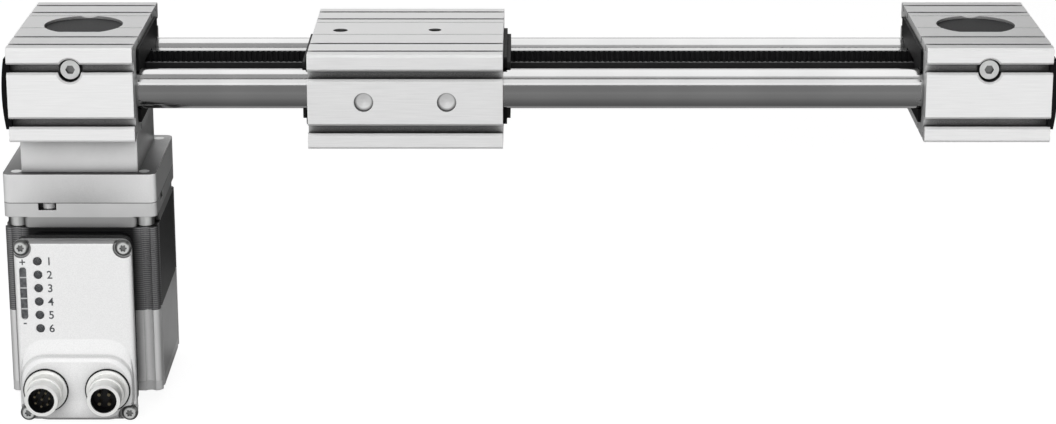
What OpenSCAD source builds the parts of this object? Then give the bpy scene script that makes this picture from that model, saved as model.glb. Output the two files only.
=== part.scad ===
/* [Stroke] */
// Usable travel of the carriage
stroke = 200; // [120:1:400]
// Travel kept in reserve at each end of the stroke
end_reserve = 4; // [2:0.5:12]
// Where the carriage rests, from the drive end of its stroke
rest_position = 55; // [10:1:110]

/* [Profile of the caps and the carriage] */
// Width of the profile
profile_w = 78; // [76:0.5:96]
// Height of the profile
profile_h = 35; // [34:0.5:46]
// Bevel along the long edges of the profile
profile_bevel = 0.8; // [0.3:0.1:1.5]
// Distance of an upper clamping slot's middle from the upper face
slot_inset = 7.6; // [6.6:0.1:9]
// Distance of a lower clamping slot's middle from the lower face
slot_inset_low = 7.2; // [6.6:0.1:9]
// Width of a clamping slot between its lips
slot_neck = 2.9; // [1.6:0.1:3.2]
// Width of a clamping slot behind its lips
slot_room = 4.8; // [3.6:0.1:6]
// Depth of a clamping slot
slot_depth = 4.2; // [3:0.1:5.5]
// Depth of the lips of a clamping slot
slot_lip = 1.7; // [1.2:0.1:2.4]
// Bevel on the lips of a clamping slot
lip_bevel = 0.85; // [0.4:0.05:1]
// Width of the narrow grooves in the upper and lower face
groove_w = 1.9; // [1:0.1:3]
// Depth of the narrow grooves
groove_depth = 2.4; // [1:0.1:3.5]
// Distance of the outer narrow grooves from the middle plane
groove_outer_y = 32.5; // [29:0.25:33.5]
// Distance of the inner narrow grooves from the middle plane
groove_inner_y = 20.4; // [18:0.1:24]
// Width of the two scribed lines in the upper face
line_w = 1; // [0.5:0.1:1.5]
// Depth of the scribed lines
line_depth = 1; // [0.2:0.05:1.2]
// Place of the front scribed line across the profile
line_front_y = -5.6; // [-10:0.1:-2]
// Place of the rear scribed line across the profile
line_rear_y = 14.6; // [8:0.1:17]

/* [Guides] */
// Diameter of the guide rods
rod_d = 14.5; // [12:0.5:16]
// Distance of each rod's axis from the middle plane
rod_y = 25.2; // [24.5:0.1:27]
// Depth of the rods and the belt below the caps' mounting face
guide_drop = 18.2; // [17:0.1:19]
// Length of rod held in each cap
rod_seat = 38; // [25:1:44]
// Outer diameter of the carriage's bushings
bushing_d = 18; // [17:0.5:19]
// Length of a bushing
bushing_l = 16; // [8:1:25]
// Radial running clearance between rod and bushing
rod_clear = 0.05; // [0.02:0.01:0.1]

/* [Caps] */
// Length of each end cap
cap_l = 45.5; // [42:0.5:70]
// Diameter of the pulley chamber
chamber_d = 29; // [27:0.5:32]
// Distance of the chamber's flat from the pulley axis
chamber_flat = 12.4; // [12:0.1:14]
// Depth of the plug below the cap's face
plug_drop = 1; // [0.4:0.1:2]
// Thickness of the plug
plug_t = 2; // [1:0.1:2.5]
// Thickness of the inner cover on a cap
inner_cover_t = 1; // [0.8:0.1:2]
// Width of the inner covers
inner_cover_w = 56; // [54:0.5:60]
// Upper edge of the inner covers, below the caps' mounting face
inner_cover_top = 3; // [2:0.25:6]
// Height of the inner covers
inner_cover_h = 27.5; // [24:0.5:30]
// Thickness of the outer covers at their edge
outer_cover_t = 1; // [0.6:0.1:2]
// Bulge of the outer covers beyond their edge
outer_bulge = 1.1; // [0.4:0.1:2.5]
// Length of the outer covers' tabs in the slots
tab_l = 1; // [0.6:0.1:3]
// Diameter of the clamp screws' heads
clamp_head_d = 7; // [6:0.1:7.5]
// Diameter of the clamp screws
clamp_screw_d = 4; // [3:0.1:4.5]
// Depth of the clamp screws' counterbores
clamp_bore_depth = 6.3; // [5.5:0.1:8.5]
// Depth of the caps' clamp screws below the mounting face
clamp_drop = 8.4; // [7.6:0.1:8.8]
// Bevel at the mouth of the clamp screws' counterbores
clamp_bore_bevel = 0.7; // [0.2:0.1:1.2]
// Length of the clamp screws below their heads
clamp_screw_l = 12; // [8:1:14]

/* [Belt drive] */
// Teeth on each pulley
pulley_teeth = 29; // [27:1:30]
// Pitch of the belt
belt_pitch = 2; // [1.5:0.05:2.1]
// Width of the belt
belt_w = 12; // [9:0.5:12.5]
// Thickness of the belt's back beyond its pitch line
belt_back = 0.38; // [0.3:0.02:0.5]
// Distance from the pitch line to the root of the teeth
pitch_to_root = 0.25; // [0.2:0.01:0.3]
// Height of a belt tooth
tooth_h = 0.75; // [0.6:0.05:0.8]
// Running clearance between the belt's wrap and the pulley
wrap_clear = 0.3; // [0.25:0.05:0.4]
// Thickness of a pulley flange
flange_t = 1; // [0.8:0.1:1.3]
// Diameter of the pulley shafts
shaft_d = 8; // [6:0.5:9]
// Outer diameter of the pulley bearings
bearing_d = 16; // [14:0.5:19]
// Width of the pulley bearings
bearing_w = 5; // [4:0.25:5.5]

/* [Carriage] */
// Length of the carriage
carriage_l = 70.6; // [66:0.1:110]
// How far the carriage sits below the caps' mounting face
carriage_drop = 2.5; // [2:0.1:3.5]
// Thickness of the carriage's end plates
end_plate_t = 1.4; // [1:0.1:2.5]
// Width of the end plates
end_plate_w = 50; // [47:0.5:56]
// Height of the end plates
end_plate_h = 25.2; // [22:0.1:30]
// Thickness of the wipers
wiper_t = 1.3; // [0.8:0.1:2.5]
// Step from the end plates in to the wipers
wiper_step = 1; // [0.5:0.1:2]
// Diameter of the two front centring bores
front_bore_d = 7; // [5:0.5:8]
// Spacing of the front centring bores
front_bore_gap = 30; // [24:1:44]
// Depth of the front centring bores
front_bore_depth = 1.8; // [1:0.1:2]
// Diameter of the payload threads' cores
payload_hole_d = 4.2; // [3.3:0.1:5]
// Spacing of the payload threads along the axis
payload_gap_x = 50; // [40:1:56]
// Spacing of the payload threads across the axis
payload_gap_y = 24; // [20:1:26]
// Depth of the payload threads
payload_depth = 8; // [6:0.5:9]
// Diameter of the payload centring bores
payload_bore_d = 7; // [5:0.5:8]
// Spacing of the payload centring bores
payload_bore_gap = 30; // [24:1:34]
// Place along the carriage of the first clamp access hole
access_a_x = -25.4; // [-28:0.1:-20]
// Place across the carriage of the first clamp access hole
access_a_y = 1.2; // [-2:0.1:4]
// Diameter of the first clamp access hole
access_a_d = 5.4; // [5:0.1:6]
// Place along the carriage of the second clamp access hole
access_b_x = 9.8; // [4:0.1:14]
// Place across the carriage of the second clamp access hole
access_b_y = 1.8; // [-2:0.1:4]
// Diameter of the second clamp access hole
access_b_d = 4.8; // [4.6:0.1:6]
// Clearance of the clamp jaws from the belt
jaw_clear = 0.3; // [0.25:0.05:0.5]
// Distance of the clamp block from the teeth of the rear run
clamp_block_gap = 3; // [1:0.5:6]
// Length of the clamp beyond its two screws
clamp_margin = 5; // [3:0.5:8]

/* [Coupling and adapter] */
// Length of the coupling housing along the axis
coupling_box_l = 43; // [40:0.5:45]
// Width of the coupling housing across the axis
coupling_box_w = 50; // [46:0.5:56]
// Height of the coupling housing
coupling_box_h = 15; // [14:0.5:22]
// Bore of the coupling housing
coupling_bore_d = 26; // [24:0.5:28]
// Diameter of the coupling hubs
hub_d = 20; // [18:0.5:22]
// Length of a coupling hub without its jaws
hub_l = 7.5; // [6:0.5:8]
// Height of the coupling's jaws
jaw_h = 5; // [4:0.5:5.5]
// Thickness of the adapter plate
adapter_t = 11; // [10:0.5:15]
// Diameter of the screws that join cap, coupling housing and adapter
housing_screw_d = 3; // [2.5:0.1:3.2]
// Distance of the housing's screws from its sides along the axis
housing_screw_in_x = 4; // [3.5:0.1:4.5]
// Distance of the housing's screws from its sides across the axis
housing_screw_in_y = 5; // [3.5:0.1:5.5]
// Angle that one jaw of a coupling hub takes up
jaw_angle = 56; // [48:1:58]
// Angle that one arm of the coupling's spider takes up
arm_angle = 30; // [20:1:32]

/* [Motor] */
// Width of the square motor
motor_w = 56.4; // [54:0.2:60]
// Distance of the motor screws from the motor's faces
motor_screw_in = 4.63; // [4.2:0.01:6]
// Corner radius of the motor and adapter
motor_corner_r = 2.8; // [1.5:0.1:4]
// Diameter of the motor screws
motor_screw_d = 4; // [3:0.1:4.5]
// Diameter of the motor screws' heads
motor_head_d = 6.4; // [5.6:0.1:7]
// Thickness of the motor flange at its corners
flange_h = 5.3; // [4:0.1:7]
// Height of the bell below the flange
bell_h = 4; // [3.2:0.1:6]
// Height of the lamination stack
stack_h = 32.2; // [26:0.2:60]
// Height of the lower motor housing
end_bell_h = 28; // [22:0.5:40]
// Height of the plate below the seam
end_plate_bottom_h = 3.7; // [2.5:0.1:6]
// Diameter of the motor's shaft
motor_shaft_d = 6.35; // [5:0.05:7]
// Outer diameter of the motor's bearings
motor_bearing_d = 16; // [14:0.5:19]
// Diameter of the rotor
rotor_d = 28; // [24:0.5:32]
// Radial air gap between rotor and stack
air_gap = 0.3; // [0.25:0.05:0.5]
// Diameter of the pilot on the motor flange
pilot_d = 38.1; // [36:0.1:39]
// Height of the pilot
pilot_h = 1.6; // [1:0.1:2]

/* [Controller] */
// Depth of the controller housing in front of the motor
controller_d = 19.8; // [15:0.2:30]
// Depth of the controller housing's wide rim
rim_d = 10; // [6:0.5:13]
// Step from the rim in to the housing's neck
neck_step = 1.8; // [0.5:0.1:4]
// Corner radius of the controller housing
housing_r = 4; // [2:0.1:5]
// Width of the cover
cover_w = 42.8; // [42:0.2:46]
// Height of the cover
cover_h = 69; // [68:0.5:76]
// How far the cover stands out over the housing's sides
cover_lip_side = 1; // [0.4:0.1:2]
// How far the cover stands out above and below the housing
cover_lip_end = 1.8; // [0.6:0.1:3]
// Height of the cover's upper edge above the top of the lamination stack
cover_rise = 1.8; // [0:0.1:3]
// Radius of the cover's front edges
cover_edge = 1.6; // [0.6:0.1:2]
// Thickness of the cover at its upper zone
cover_t = 3; // [2.6:0.1:4]
// How far the connector zone stands out from the upper zone
zone_step = 3; // [2:0.1:4]
// Height of the connector zone
zone_h = 25; // [22:0.5:28]
// Distance of the cover's screws from its sides
cover_screw_side = 2.8; // [2.6:0.1:4]
// Distance of the cover's screws from its upper and lower edge
cover_screw_end = 2.8; // [2.6:0.1:4]
// Diameter of the cover screws' heads
cover_head_d = 6; // [5:0.1:6.2]
// Diameter of a push button
button_d = 3; // [2.4:0.1:3.6]
// Travel of a push button
button_travel = 0.5; // [0.3:0.1:0.8]
// Distance between neighbouring push buttons
button_gap = 5.12; // [4.4:0.02:5.4]
// Distance of the buttons from the middle of the cover
button_x = 12.7; // [11.5:0.1:13.5]
// Distance of the first button below the cover's upper edge
button_first = 7.8; // [7:0.1:9]
// Distance of the level window from the middle of the cover
window_x = 18.2; // [17.6:0.1:18.4]
// Width of the level window
window_w = 2.5; // [2:0.1:2.8]
// Length of the level window
window_l = 20; // [16:0.5:24]
// Distance of the connectors' axis above the cover's lower edge
socket_rise = 12.7; // [11.8:0.1:13.5]
// Distance of each connector from the middle of the cover
socket_x = 11.3; // [10.5:0.1:11.6]
// Outer diameter of the connectors' threads
socket_d = 12; // [11:0.1:12]
// Length of the connectors in front of the cover
socket_l = 11.4; // [9:0.1:16]
// Diameter of the connectors' base
socket_base_d = 15.6; // [14:0.1:16]
// Diameter of the connectors' cavity
socket_room_d = 9; // [8:0.1:9.6]

/* [Hidden] */
// Small clearance of pieces that sit in each other without moving
seat_clear = 0.05;
// Running clearance beside turning pieces
turn_clear = 0.3;
// Overlap that makes a cut run past its face
past = 1;
// Number of push buttons, one node each
button_count = 6;
// Depth to which a coupling jaw is rooted in its hub
jaw_root = 0.5;
// How far the coupling is turned at rest
coupling_turn = 30;

// Lengths along the axis
end_stack = end_plate_t + wiper_t;
inner_l = carriage_l + 2 * end_stack + 2 * inner_cover_t + stroke + 2 * end_reserve;
cap_x = inner_l / 2 + cap_l / 2;
carriage_x = rest_position - stroke / 2;

// Levels, measured down from the caps' mounting face
guide_z = -guide_drop;
carriage_z = -carriage_drop - profile_h / 2;
box_top = -profile_h;
adapter_top = box_top - coupling_box_h;
flange_top = adapter_top - adapter_t;
bell_top = flange_top - flange_h;
stack_top = bell_top - bell_h;
stack_bottom = stack_top - stack_h;
motor_bottom = stack_bottom - end_bell_h - end_plate_bottom_h;

// Belt and pulley radii
pitch_r = pulley_teeth * belt_pitch / (2 * PI);
belt_out_r = pitch_r + belt_back;
belt_root_r = pitch_r - pitch_to_root;
belt_tip_r = belt_root_r - tooth_h;
pulley_r = belt_root_r - wrap_clear;
flange_rise = 1.2;
flange_r = belt_out_r + flange_rise;
belt_room = 1;
belt_room_y = belt_out_r + belt_room;
belt_room_z = belt_w / 2 + belt_room;
pulley_w = belt_w + belt_room;
pulley_half = pulley_w / 2 + flange_t;
upper_bearing_z = guide_z + pulley_half + turn_clear;
lower_bearing_z = guide_z - pulley_half - turn_clear - bearing_w;
shaft_pass_d = (shaft_d + bearing_d) / 2;

bottom_plug_d = bearing_d + 2;
bottom_plug_sink = 0.4;
shaft_end_play = 0.5;

// Clamp of the belt in the carriage
clamp_x = (access_a_x + access_b_x) / 2;
clamp_l = access_b_x - access_a_x + 2 * clamp_margin;
clamp_roof = guide_z + belt_room_z;
clamp_screws = [[access_a_x, access_a_y], [access_b_x, access_b_y]];
clamp_thread_d = 3;
clamp_thread_head_d = 4.4;
clamp_thread_head_h = 2.6;

// Coupling levels and the screws round it
hub_drop = 1.6;
hub_top = box_top - hub_drop;
spider_top = hub_top - hub_l;
spider_bottom = spider_top - jaw_h;
spider_play = 0.1;
shaft_set_back = 0.5;
drive_shaft_end = spider_top + shaft_set_back;
motor_shaft_top = spider_bottom - shaft_set_back;
housing_screw_x = coupling_box_l / 2 - housing_screw_in_x;
housing_screw_y = coupling_box_w / 2 - housing_screw_in_y;
housing_head_d = 1.85 * housing_screw_d;
housing_sink = housing_screw_d + 0.4;
adapter_core_d = housing_screw_d - 0.5;
adapter_screw_y = housing_screw_y - housing_head_d / 2 - adapter_core_d / 2 - 0.6;
adapter_sink = adapter_t / 2 - 0.5;
adapter_screw_reach = 5.5;
housing_screw_reach = 8;

// Slots in the upper edge of the motor's flange, each with a round peg
slot_x = 12;
slot_w = 6.6;
slot_h = 2.7;
slot_in = 4;
slot_peg_d = 4;

// Shaft and bearings of the motor
motor_bearing_w = 5;
rotor_end_gap = 3;
rear_shaft_l = 12;

// Controller levels
motor_front = -motor_w / 2;
housing_front = motor_front - controller_d;
cover_face = housing_front - cover_t;
zone_face = cover_face - zone_step;
motor_screw_gap = motor_w - 2 * motor_screw_in;
cover_top = stack_top + cover_rise;
cover_bottom = cover_top - cover_h;
cover_mid = cover_top - cover_h / 2;
controller_w = cover_w - 2 * cover_lip_side;
housing_top = cover_top - cover_lip_end;
housing_bottom = cover_bottom + cover_lip_end;
cover_screw_w = cover_w - 2 * cover_screw_side;
cover_screw_h = cover_h - 2 * cover_screw_end;
socket_z = cover_bottom + socket_rise;
screw_sink = 1.6;
cover_head_h = 1.9;
cover_thread_d = 2.5;
cover_boss_l = 4.5;
button_hole_d = button_d + 0.2;
button_rim_d = button_d + 1.2;
button_rim_t = 0.8;
button_dome = 0.5;
button_proud = 0.3;
window_mid = cover_top - button_first - button_gap * (button_count - 1) / 2 + 0.6;

window_seat = 1.9;

// Connector pieces
socket_tip = zone_face - socket_l;
socket_base_t = 0.8;
socket_neck_l = 5.4;
insert_drop = 5.5;
insert_t = 2;
contact_l = 4.1;
seal_t = 0.35;
seal_w = 0.5;

ALUMINIUM = "#d3d5d6";
CAST = "#c9cbcc";
STEEL = "#b9bcbf";
BLACK = "#1b1d1c";
DARK = "#48494a";
BRASS = "#b99a55";

BUTTONS = [for (i = [1 : button_count]) str("button_", i)];

// ---------- Shapes that several pieces share ----------

// A bar cut to length along X, centred there, from an outline whose first axis is Y and second is Z
module along_x(length) {
    rotate([90, 0, 90]) linear_extrude(length, center = true) children();
}

// A plate with its faces at two places along Y, from an outline in X and Z
module along_y(from, to) {
    translate([0, to, 0]) rotate([90, 0, 0]) linear_extrude(to - from) children();
}

// A plain upright cylinder between two heights
module post(d, bottom, top, n = 48) {
    translate([0, 0, bottom]) cylinder(h = top - bottom, d = d, $fn = n);
}

// A cylinder along Y between two places
module pin_y(d, from, to, n = 40) {
    translate([0, to, 0]) rotate([90, 0, 0]) cylinder(h = to - from, d = d, $fn = n);
}

// A cylinder along X, centred on the middle of its length
module pin_x(d, length, n = 64) {
    rotate([0, 90, 0]) cylinder(h = length, d = d, center = true, $fn = n);
}

// A rectangle with round corners, centred
module round_rect(w, h, r) {
    square([w - 2 * r, h], center = true);
    square([w, h - 2 * r], center = true);
    for (x = [-1, 1], y = [-1, 1])
        translate([x * (w / 2 - r), y * (h / 2 - r)]) circle(r, $fn = 32);
}

// Outline of one clamping slot, open towards +X of the outline
module slot_outline() {
    neck = slot_neck / 2;
    room = slot_room / 2;
    polygon([
        [past, neck + lip_bevel + past], [0, neck + lip_bevel], [-lip_bevel, neck],
        [-slot_lip, neck], [-slot_lip - (room - neck) / 2, room], [-slot_depth, room],
        [-slot_depth, -room], [-slot_lip - (room - neck) / 2, -room], [-slot_lip, -neck],
        [-lip_bevel, -neck], [0, -neck - lip_bevel], [past, -neck - lip_bevel - past]
    ]);
}

// The extruded profile that caps and carriage are cut from, its middle at the origin
module profile_outline() {
    half_w = profile_w / 2;
    half_h = profile_h / 2;
    difference() {
        polygon([
            [-half_w + profile_bevel, -half_h], [half_w - profile_bevel, -half_h],
            [half_w, -half_h + profile_bevel], [half_w, half_h - profile_bevel],
            [half_w - profile_bevel, half_h], [-half_w + profile_bevel, half_h],
            [-half_w, half_h - profile_bevel], [-half_w, -half_h + profile_bevel]
        ]);
        for (side = [0, 1], up = [-1, 1])
            mirror([side, 0])
                translate([half_w, up * (half_h - (up > 0 ? slot_inset : slot_inset_low))]) slot_outline();
        for (y = [-groove_outer_y, -groove_inner_y, groove_inner_y, groove_outer_y], up = [0, 1])
            mirror([0, up])
                translate([y - groove_w / 2, half_h - groove_depth]) square([groove_w, groove_depth + past]);
        for (y = [line_front_y, line_rear_y])
            polygon([
                [y - line_w, half_h + line_depth], [y, half_h - line_depth], [y + line_w, half_h + line_depth]
            ]);
    }
}

// Plan of the pulley chamber, a circle with one flat towards the front
module chamber_outline(clear) {
    difference() {
        circle(d = chamber_d - 2 * clear, $fn = 96);
        translate([-chamber_d / 2, -chamber_d - chamber_flat + clear]) square([chamber_d, chamber_d]);
    }
}

// A stepped disc that follows the chamber's plan
module chamber_disc(clear, bottom, top) {
    translate([0, 0, bottom]) linear_extrude(top - bottom) chamber_outline(clear);
}

// Sealed ball bearing: a ring with a shallow groove in each face, standing on z = 0
module bearing(outer_d, inner_d, width) {
    wall = (outer_d - inner_d) / 2;
    shield = min(0.3, width / 8);
    rotate_extrude($fn = 64) polygon([
        [inner_d / 2, 0], [inner_d / 2 + wall * 0.25, 0], [inner_d / 2 + wall * 0.25, shield],
        [outer_d / 2 - wall * 0.25, shield], [outer_d / 2 - wall * 0.25, 0], [outer_d / 2, 0],
        [outer_d / 2, width], [outer_d / 2 - wall * 0.25, width],
        [outer_d / 2 - wall * 0.25, width - shield], [inner_d / 2 + wall * 0.25, width - shield],
        [inner_d / 2 + wall * 0.25, width], [inner_d / 2, width]
    ]);
}

// Socket-head screw along Z: its head stands on z = 0 and its shank hangs below
module cap_screw(head_d, head_h, screw_d, length) {
    difference() {
        union() {
            cylinder(h = head_h, d = head_d, $fn = 40);
            translate([0, 0, -length]) cylinder(h = length, d = screw_d, $fn = 32);
        }
        translate([0, 0, head_h / 2]) cylinder(h = head_h, d = head_d * 0.5, $fn = 6);
    }
}

// ---------- Caps ----------

module cap_blank(x) {
    difference() {
        translate([x, 0, -profile_h / 2]) along_x(cap_l) profile_outline();
        for (side = [-1, 1])
            translate([x, side * rod_y, guide_z]) pin_x(rod_d + 2 * seat_clear, cap_l + 2 * past);
        translate([x, 0, 0]) chamber_disc(0, lower_bearing_z + bearing_w, past);
        translate([x, 0, 0]) post(bearing_d + 2 * seat_clear, lower_bearing_z, 0, 64);
        for (side = [-1, 1])
            translate([x, 0, -clamp_drop]) clamp_screw_room(side);
    }
}

// Counterbore and hole of one clamp screw, at the cap's middle
module clamp_screw_room(side) {
    face = profile_w / 2;
    bore_d = clamp_head_d + 1.5;
    rotate([0, 0, side > 0 ? 180 : 0]) {
        pin_y(bore_d, -face - past, -face + clamp_bore_depth);
        pin_y(clamp_screw_d + 0.1, -face, -face + clamp_bore_depth + clamp_screw_l + 0.5);
        translate([0, -face + clamp_bore_bevel, 0]) rotate([90, 0, 0])
            cylinder(h = 2 * clamp_bore_bevel, d1 = bore_d, d2 = bore_d + 4 * clamp_bore_bevel, $fn = 40);
    }
}

// Passage of the belt from the chamber through the cap's inner face
module belt_passage(x, towards) {
    room = cap_l / 2 + past;
    translate([x + (towards > 0 ? 0 : -room), -belt_room_y, guide_z - belt_room_z])
        cube([room, 2 * belt_room_y, 2 * belt_room_z]);
}

module drive_cap() {
    color(ALUMINIUM) difference() {
        cap_blank(-cap_x);
        belt_passage(-cap_x, 1);
        translate([-cap_x, 0, 0]) post(shaft_pass_d, -profile_h - past, 0);
        translate([-cap_x, 0, 0]) housing_screw_places()
            post(housing_screw_d + 0.1, box_top - past, box_top + housing_screw_reach);
    }
}

module idler_cap() {
    color(ALUMINIUM) difference() {
        cap_blank(cap_x);
        belt_passage(cap_x, -1);
        translate([cap_x, 0, 0]) post(shaft_pass_d, -profile_h - past, 0);
        translate([cap_x, 0, 0])
            post(bottom_plug_d + 2 * seat_clear, -profile_h - past, -profile_h + bottom_plug_sink + plug_t);
    }
}

module top_plug(x) {
    color(DARK) translate([x, 0, 0]) chamber_disc(seat_clear, -plug_drop - plug_t, -plug_drop);
}

module drive_top_plug() {
    top_plug(-cap_x);
}

module idler_top_plug() {
    top_plug(cap_x);
}

module idler_bottom_plug() {
    bottom = -profile_h + bottom_plug_sink;
    color(DARK) translate([cap_x, 0, 0]) post(bottom_plug_d, bottom, bottom + plug_t, 64);
}

// Disc in the chamber that holds the upper bearing
module bearing_holder(x) {
    color(CAST) translate([x, 0, 0]) difference() {
        chamber_disc(seat_clear, upper_bearing_z, -plug_drop - plug_t);
        post(bearing_d + 2 * seat_clear, upper_bearing_z - past, upper_bearing_z + bearing_w, 64);
        post(shaft_pass_d, upper_bearing_z, 0);
    }
}

module drive_bearing_holder() {
    bearing_holder(-cap_x);
}

module idler_bearing_holder() {
    bearing_holder(cap_x);
}

module pulley_bearings(x) {
    color(STEEL) translate([x, 0, 0]) {
        translate([0, 0, upper_bearing_z]) bearing(bearing_d, shaft_d + 2 * rod_clear, bearing_w);
        translate([0, 0, lower_bearing_z]) bearing(bearing_d, shaft_d + 2 * rod_clear, bearing_w);
    }
}

module drive_bearings() {
    pulley_bearings(-cap_x);
}

module idler_bearings() {
    pulley_bearings(cap_x);
}

module cap_clamp_screws() {
    face = profile_w / 2;
    color(STEEL) for (x = [-cap_x, cap_x], side = [-1, 1])
        translate([x, side * (face - clamp_bore_depth), -clamp_drop]) rotate([side < 0 ? 90 : -90, 0, 0])
            cap_screw(clamp_head_d, clamp_screw_d, clamp_screw_d, clamp_screw_l);
}

// Black plate on a cap's inner face, notched for the rods and open for the belt
module inner_cover(x) {
    color(BLACK) translate([x, 0, 0]) difference() {
        translate([0, 0, -inner_cover_top - inner_cover_h / 2]) along_x(inner_cover_t)
            round_rect(inner_cover_w, inner_cover_h, 1.5);
        for (side = [-1, 1])
            translate([0, side * rod_y, guide_z]) pin_x(rod_d + 0.8, inner_cover_t + 2 * past);
        translate([0, 0, guide_z])
            cube([inner_cover_t + 2 * past, 2 * belt_room_y, 2 * belt_room_z], center = true);
    }
}

module drive_inner_cover() {
    inner_cover(-inner_l / 2 + inner_cover_t / 2);
}

module idler_inner_cover() {
    inner_cover(inner_l / 2 - inner_cover_t / 2);
}

// Black cover on a cap's outer face, bulged in an arc over its height, with a tab in each clamping slot
module outer_cover(side) {
    top = -slot_inset + slot_room / 2 + 1.2;
    bottom = -profile_h + slot_inset_low - slot_room / 2;
    half = (top - bottom) / 2;
    bulge_r = (half * half + outer_bulge * outer_bulge) / (2 * outer_bulge);
    width = profile_w - 1.2;
    face = cap_x + cap_l / 2;
    tab_w = slot_neck - 2 * seat_clear;
    color(BLACK) mirror([side < 0 ? 1 : 0, 0, 0]) {
        intersection() {
            translate([face, -width / 2, bottom]) cube([outer_cover_t + outer_bulge, width, top - bottom]);
            translate([face + outer_cover_t + outer_bulge - bulge_r, 0, (top + bottom) / 2])
                rotate([90, 0, 0]) cylinder(h = width, r = bulge_r, center = true, $fn = 180);
        }
        for (front = [-1, 1], z = [-slot_inset, -profile_h + slot_inset_low])
            translate([face - tab_l / 2 + 0.1, front * (profile_w / 2 - slot_depth / 2), z])
                cube([tab_l + 0.2, slot_depth - 1.4, tab_w], center = true);
    }
}

module drive_outer_cover() {
    outer_cover(-1);
}

module idler_outer_cover() {
    outer_cover(1);
}

// ---------- Guides ----------

module guide_rod(side) {
    length = inner_l + 2 * rod_seat;
    bevel = 0.6;
    color(STEEL) translate([-length / 2, side * rod_y, guide_z]) rotate([0, 90, 0]) {
        cylinder(h = bevel, d1 = rod_d - 2 * bevel, d2 = rod_d, $fn = 64);
        translate([0, 0, bevel]) cylinder(h = length - 2 * bevel, d = rod_d, $fn = 64);
        translate([0, 0, length - bevel]) cylinder(h = bevel, d1 = rod_d, d2 = rod_d - 2 * bevel, $fn = 64);
    }
}

module front_guide_rod() {
    guide_rod(-1);
}

module rear_guide_rod() {
    guide_rod(1);
}

// ---------- Belt and pulleys ----------

// Points of an arc round the pulley at one end, from the front run to the rear run or back
function wrap(x, r, from, to, n) =
    [for (i = [0 : n]) let (a = from + (to - from) * i / n) [x + r * cos(a), r * sin(a)]];

// Teeth along a straight run, front run from left to right and rear run from right to left
function run_teeth(side, count) =
    [for (i = [0 : count - 1], k = [0 : 3])
        let (
            middle = (i - (count - 1) / 2) * belt_pitch,
            off = [-0.29, -0.2, 0.2, 0.29][k] * belt_pitch,
            r = k == 0 || k == 3 ? belt_root_r : belt_tip_r
        )
        side < 0 ? [middle + off, -r] : [-middle - off, r]];

// Closed belt: its back outside, its teeth inside on the straight runs
module toothed_belt() {
    steps = 24;
    free = 2 * cap_x - 2 * (sqrt(pow(pulley_r + turn_clear, 2) - pow(belt_tip_r, 2)) + belt_pitch);
    count = floor(free / belt_pitch);
    outer = concat(
        wrap(cap_x, belt_out_r, -90, 90, steps),
        wrap(-cap_x, belt_out_r, 90, 270, steps)
    );
    inner = concat(
        wrap(-cap_x, belt_root_r, 90, 270, steps),
        run_teeth(-1, count),
        wrap(cap_x, belt_root_r, -90, 90, steps),
        run_teeth(1, count)
    );
    edges = concat(outer, inner);
    color(BLACK) translate([0, 0, guide_z - belt_w / 2]) linear_extrude(belt_w)
        polygon(edges, [
            [for (i = [0 : len(outer) - 1]) i],
            [for (i = [len(outer) : len(edges) - 1]) i]
        ]);
}

// Toothed pulley with two flanges, its axis upright
module pulley(x) {
    gap = tooth_h + 0.1;
    points = [for (i = [0 : pulley_teeth - 1], k = [0 : 3])
        let (
            a = (i + [-0.3, -0.22, 0.22, 0.3][k]) * 360 / pulley_teeth,
            r = k == 0 || k == 3 ? pulley_r : pulley_r - gap
        )
        [r * cos(a), r * sin(a)]];
    color(CAST) translate([x, 0, guide_z]) difference() {
        union() {
            translate([0, 0, -pulley_w / 2]) linear_extrude(pulley_w) polygon(points);
            for (z = [-pulley_half, pulley_w / 2])
                translate([0, 0, z]) cylinder(h = flange_t, r = flange_r, $fn = 64);
        }
        cylinder(h = 3 * pulley_w, d = shaft_d + 2 * seat_clear, center = true, $fn = 48);
    }
}

module drive_pulley() {
    pulley(-cap_x);
}

module idler_pulley() {
    pulley(cap_x);
}

module drive_shaft() {
    color(STEEL) translate([-cap_x, 0, 0])
        post(shaft_d, drive_shaft_end, upper_bearing_z + bearing_w + shaft_end_play);
}

module idler_shaft() {
    color(STEEL) translate([cap_x, 0, 0])
        post(shaft_d, lower_bearing_z - turn_clear, upper_bearing_z + bearing_w + shaft_end_play);
}

// ---------- Carriage ----------

// Blind bore along Y with a shallow coned bottom; its wall starts at y = 0 and runs towards -Y
module coned_bore(d, length) {
    pin_y(d, -length, 0);
    rotate([-90, 0, 0]) cylinder(h = d / 8, d1 = d, d2 = d / 6, $fn = 40);
}

module carriage_body() {
    under = carriage_z - profile_h / 2;
    roof = carriage_z + profile_h / 2;
    color(ALUMINIUM) translate([carriage_x, 0, 0]) difference() {
        translate([0, 0, carriage_z]) along_x(carriage_l) profile_outline();
        for (side = [-1, 1])
            translate([0, side * rod_y, guide_z]) pin_x(bushing_d + 2 * seat_clear, carriage_l + 2 * past);
        translate([0, 0, guide_z])
            cube([carriage_l + 2 * past, 2 * belt_room_y, 2 * belt_room_z], center = true);
        for (side = [-1, 1])
            translate([side * front_bore_gap / 2, -profile_w / 2 + front_bore_depth, carriage_z])
                coned_bore(front_bore_d, front_bore_depth + past);
        for (x = [-1, 1], y = [-1, 1])
            translate([x * payload_gap_x / 2, y * payload_gap_y / 2, 0])
                post(payload_hole_d, under - past, under + payload_depth);
        for (x = [-1, 1])
            translate([x * payload_bore_gap / 2, 0, 0]) post(payload_bore_d, under - past, under + 2);
        translate([access_a_x, access_a_y, 0]) post(access_a_d, guide_z, roof + past);
        translate([access_b_x, access_b_y, 0]) post(access_b_d, guide_z, roof + past);
    }
}

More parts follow.
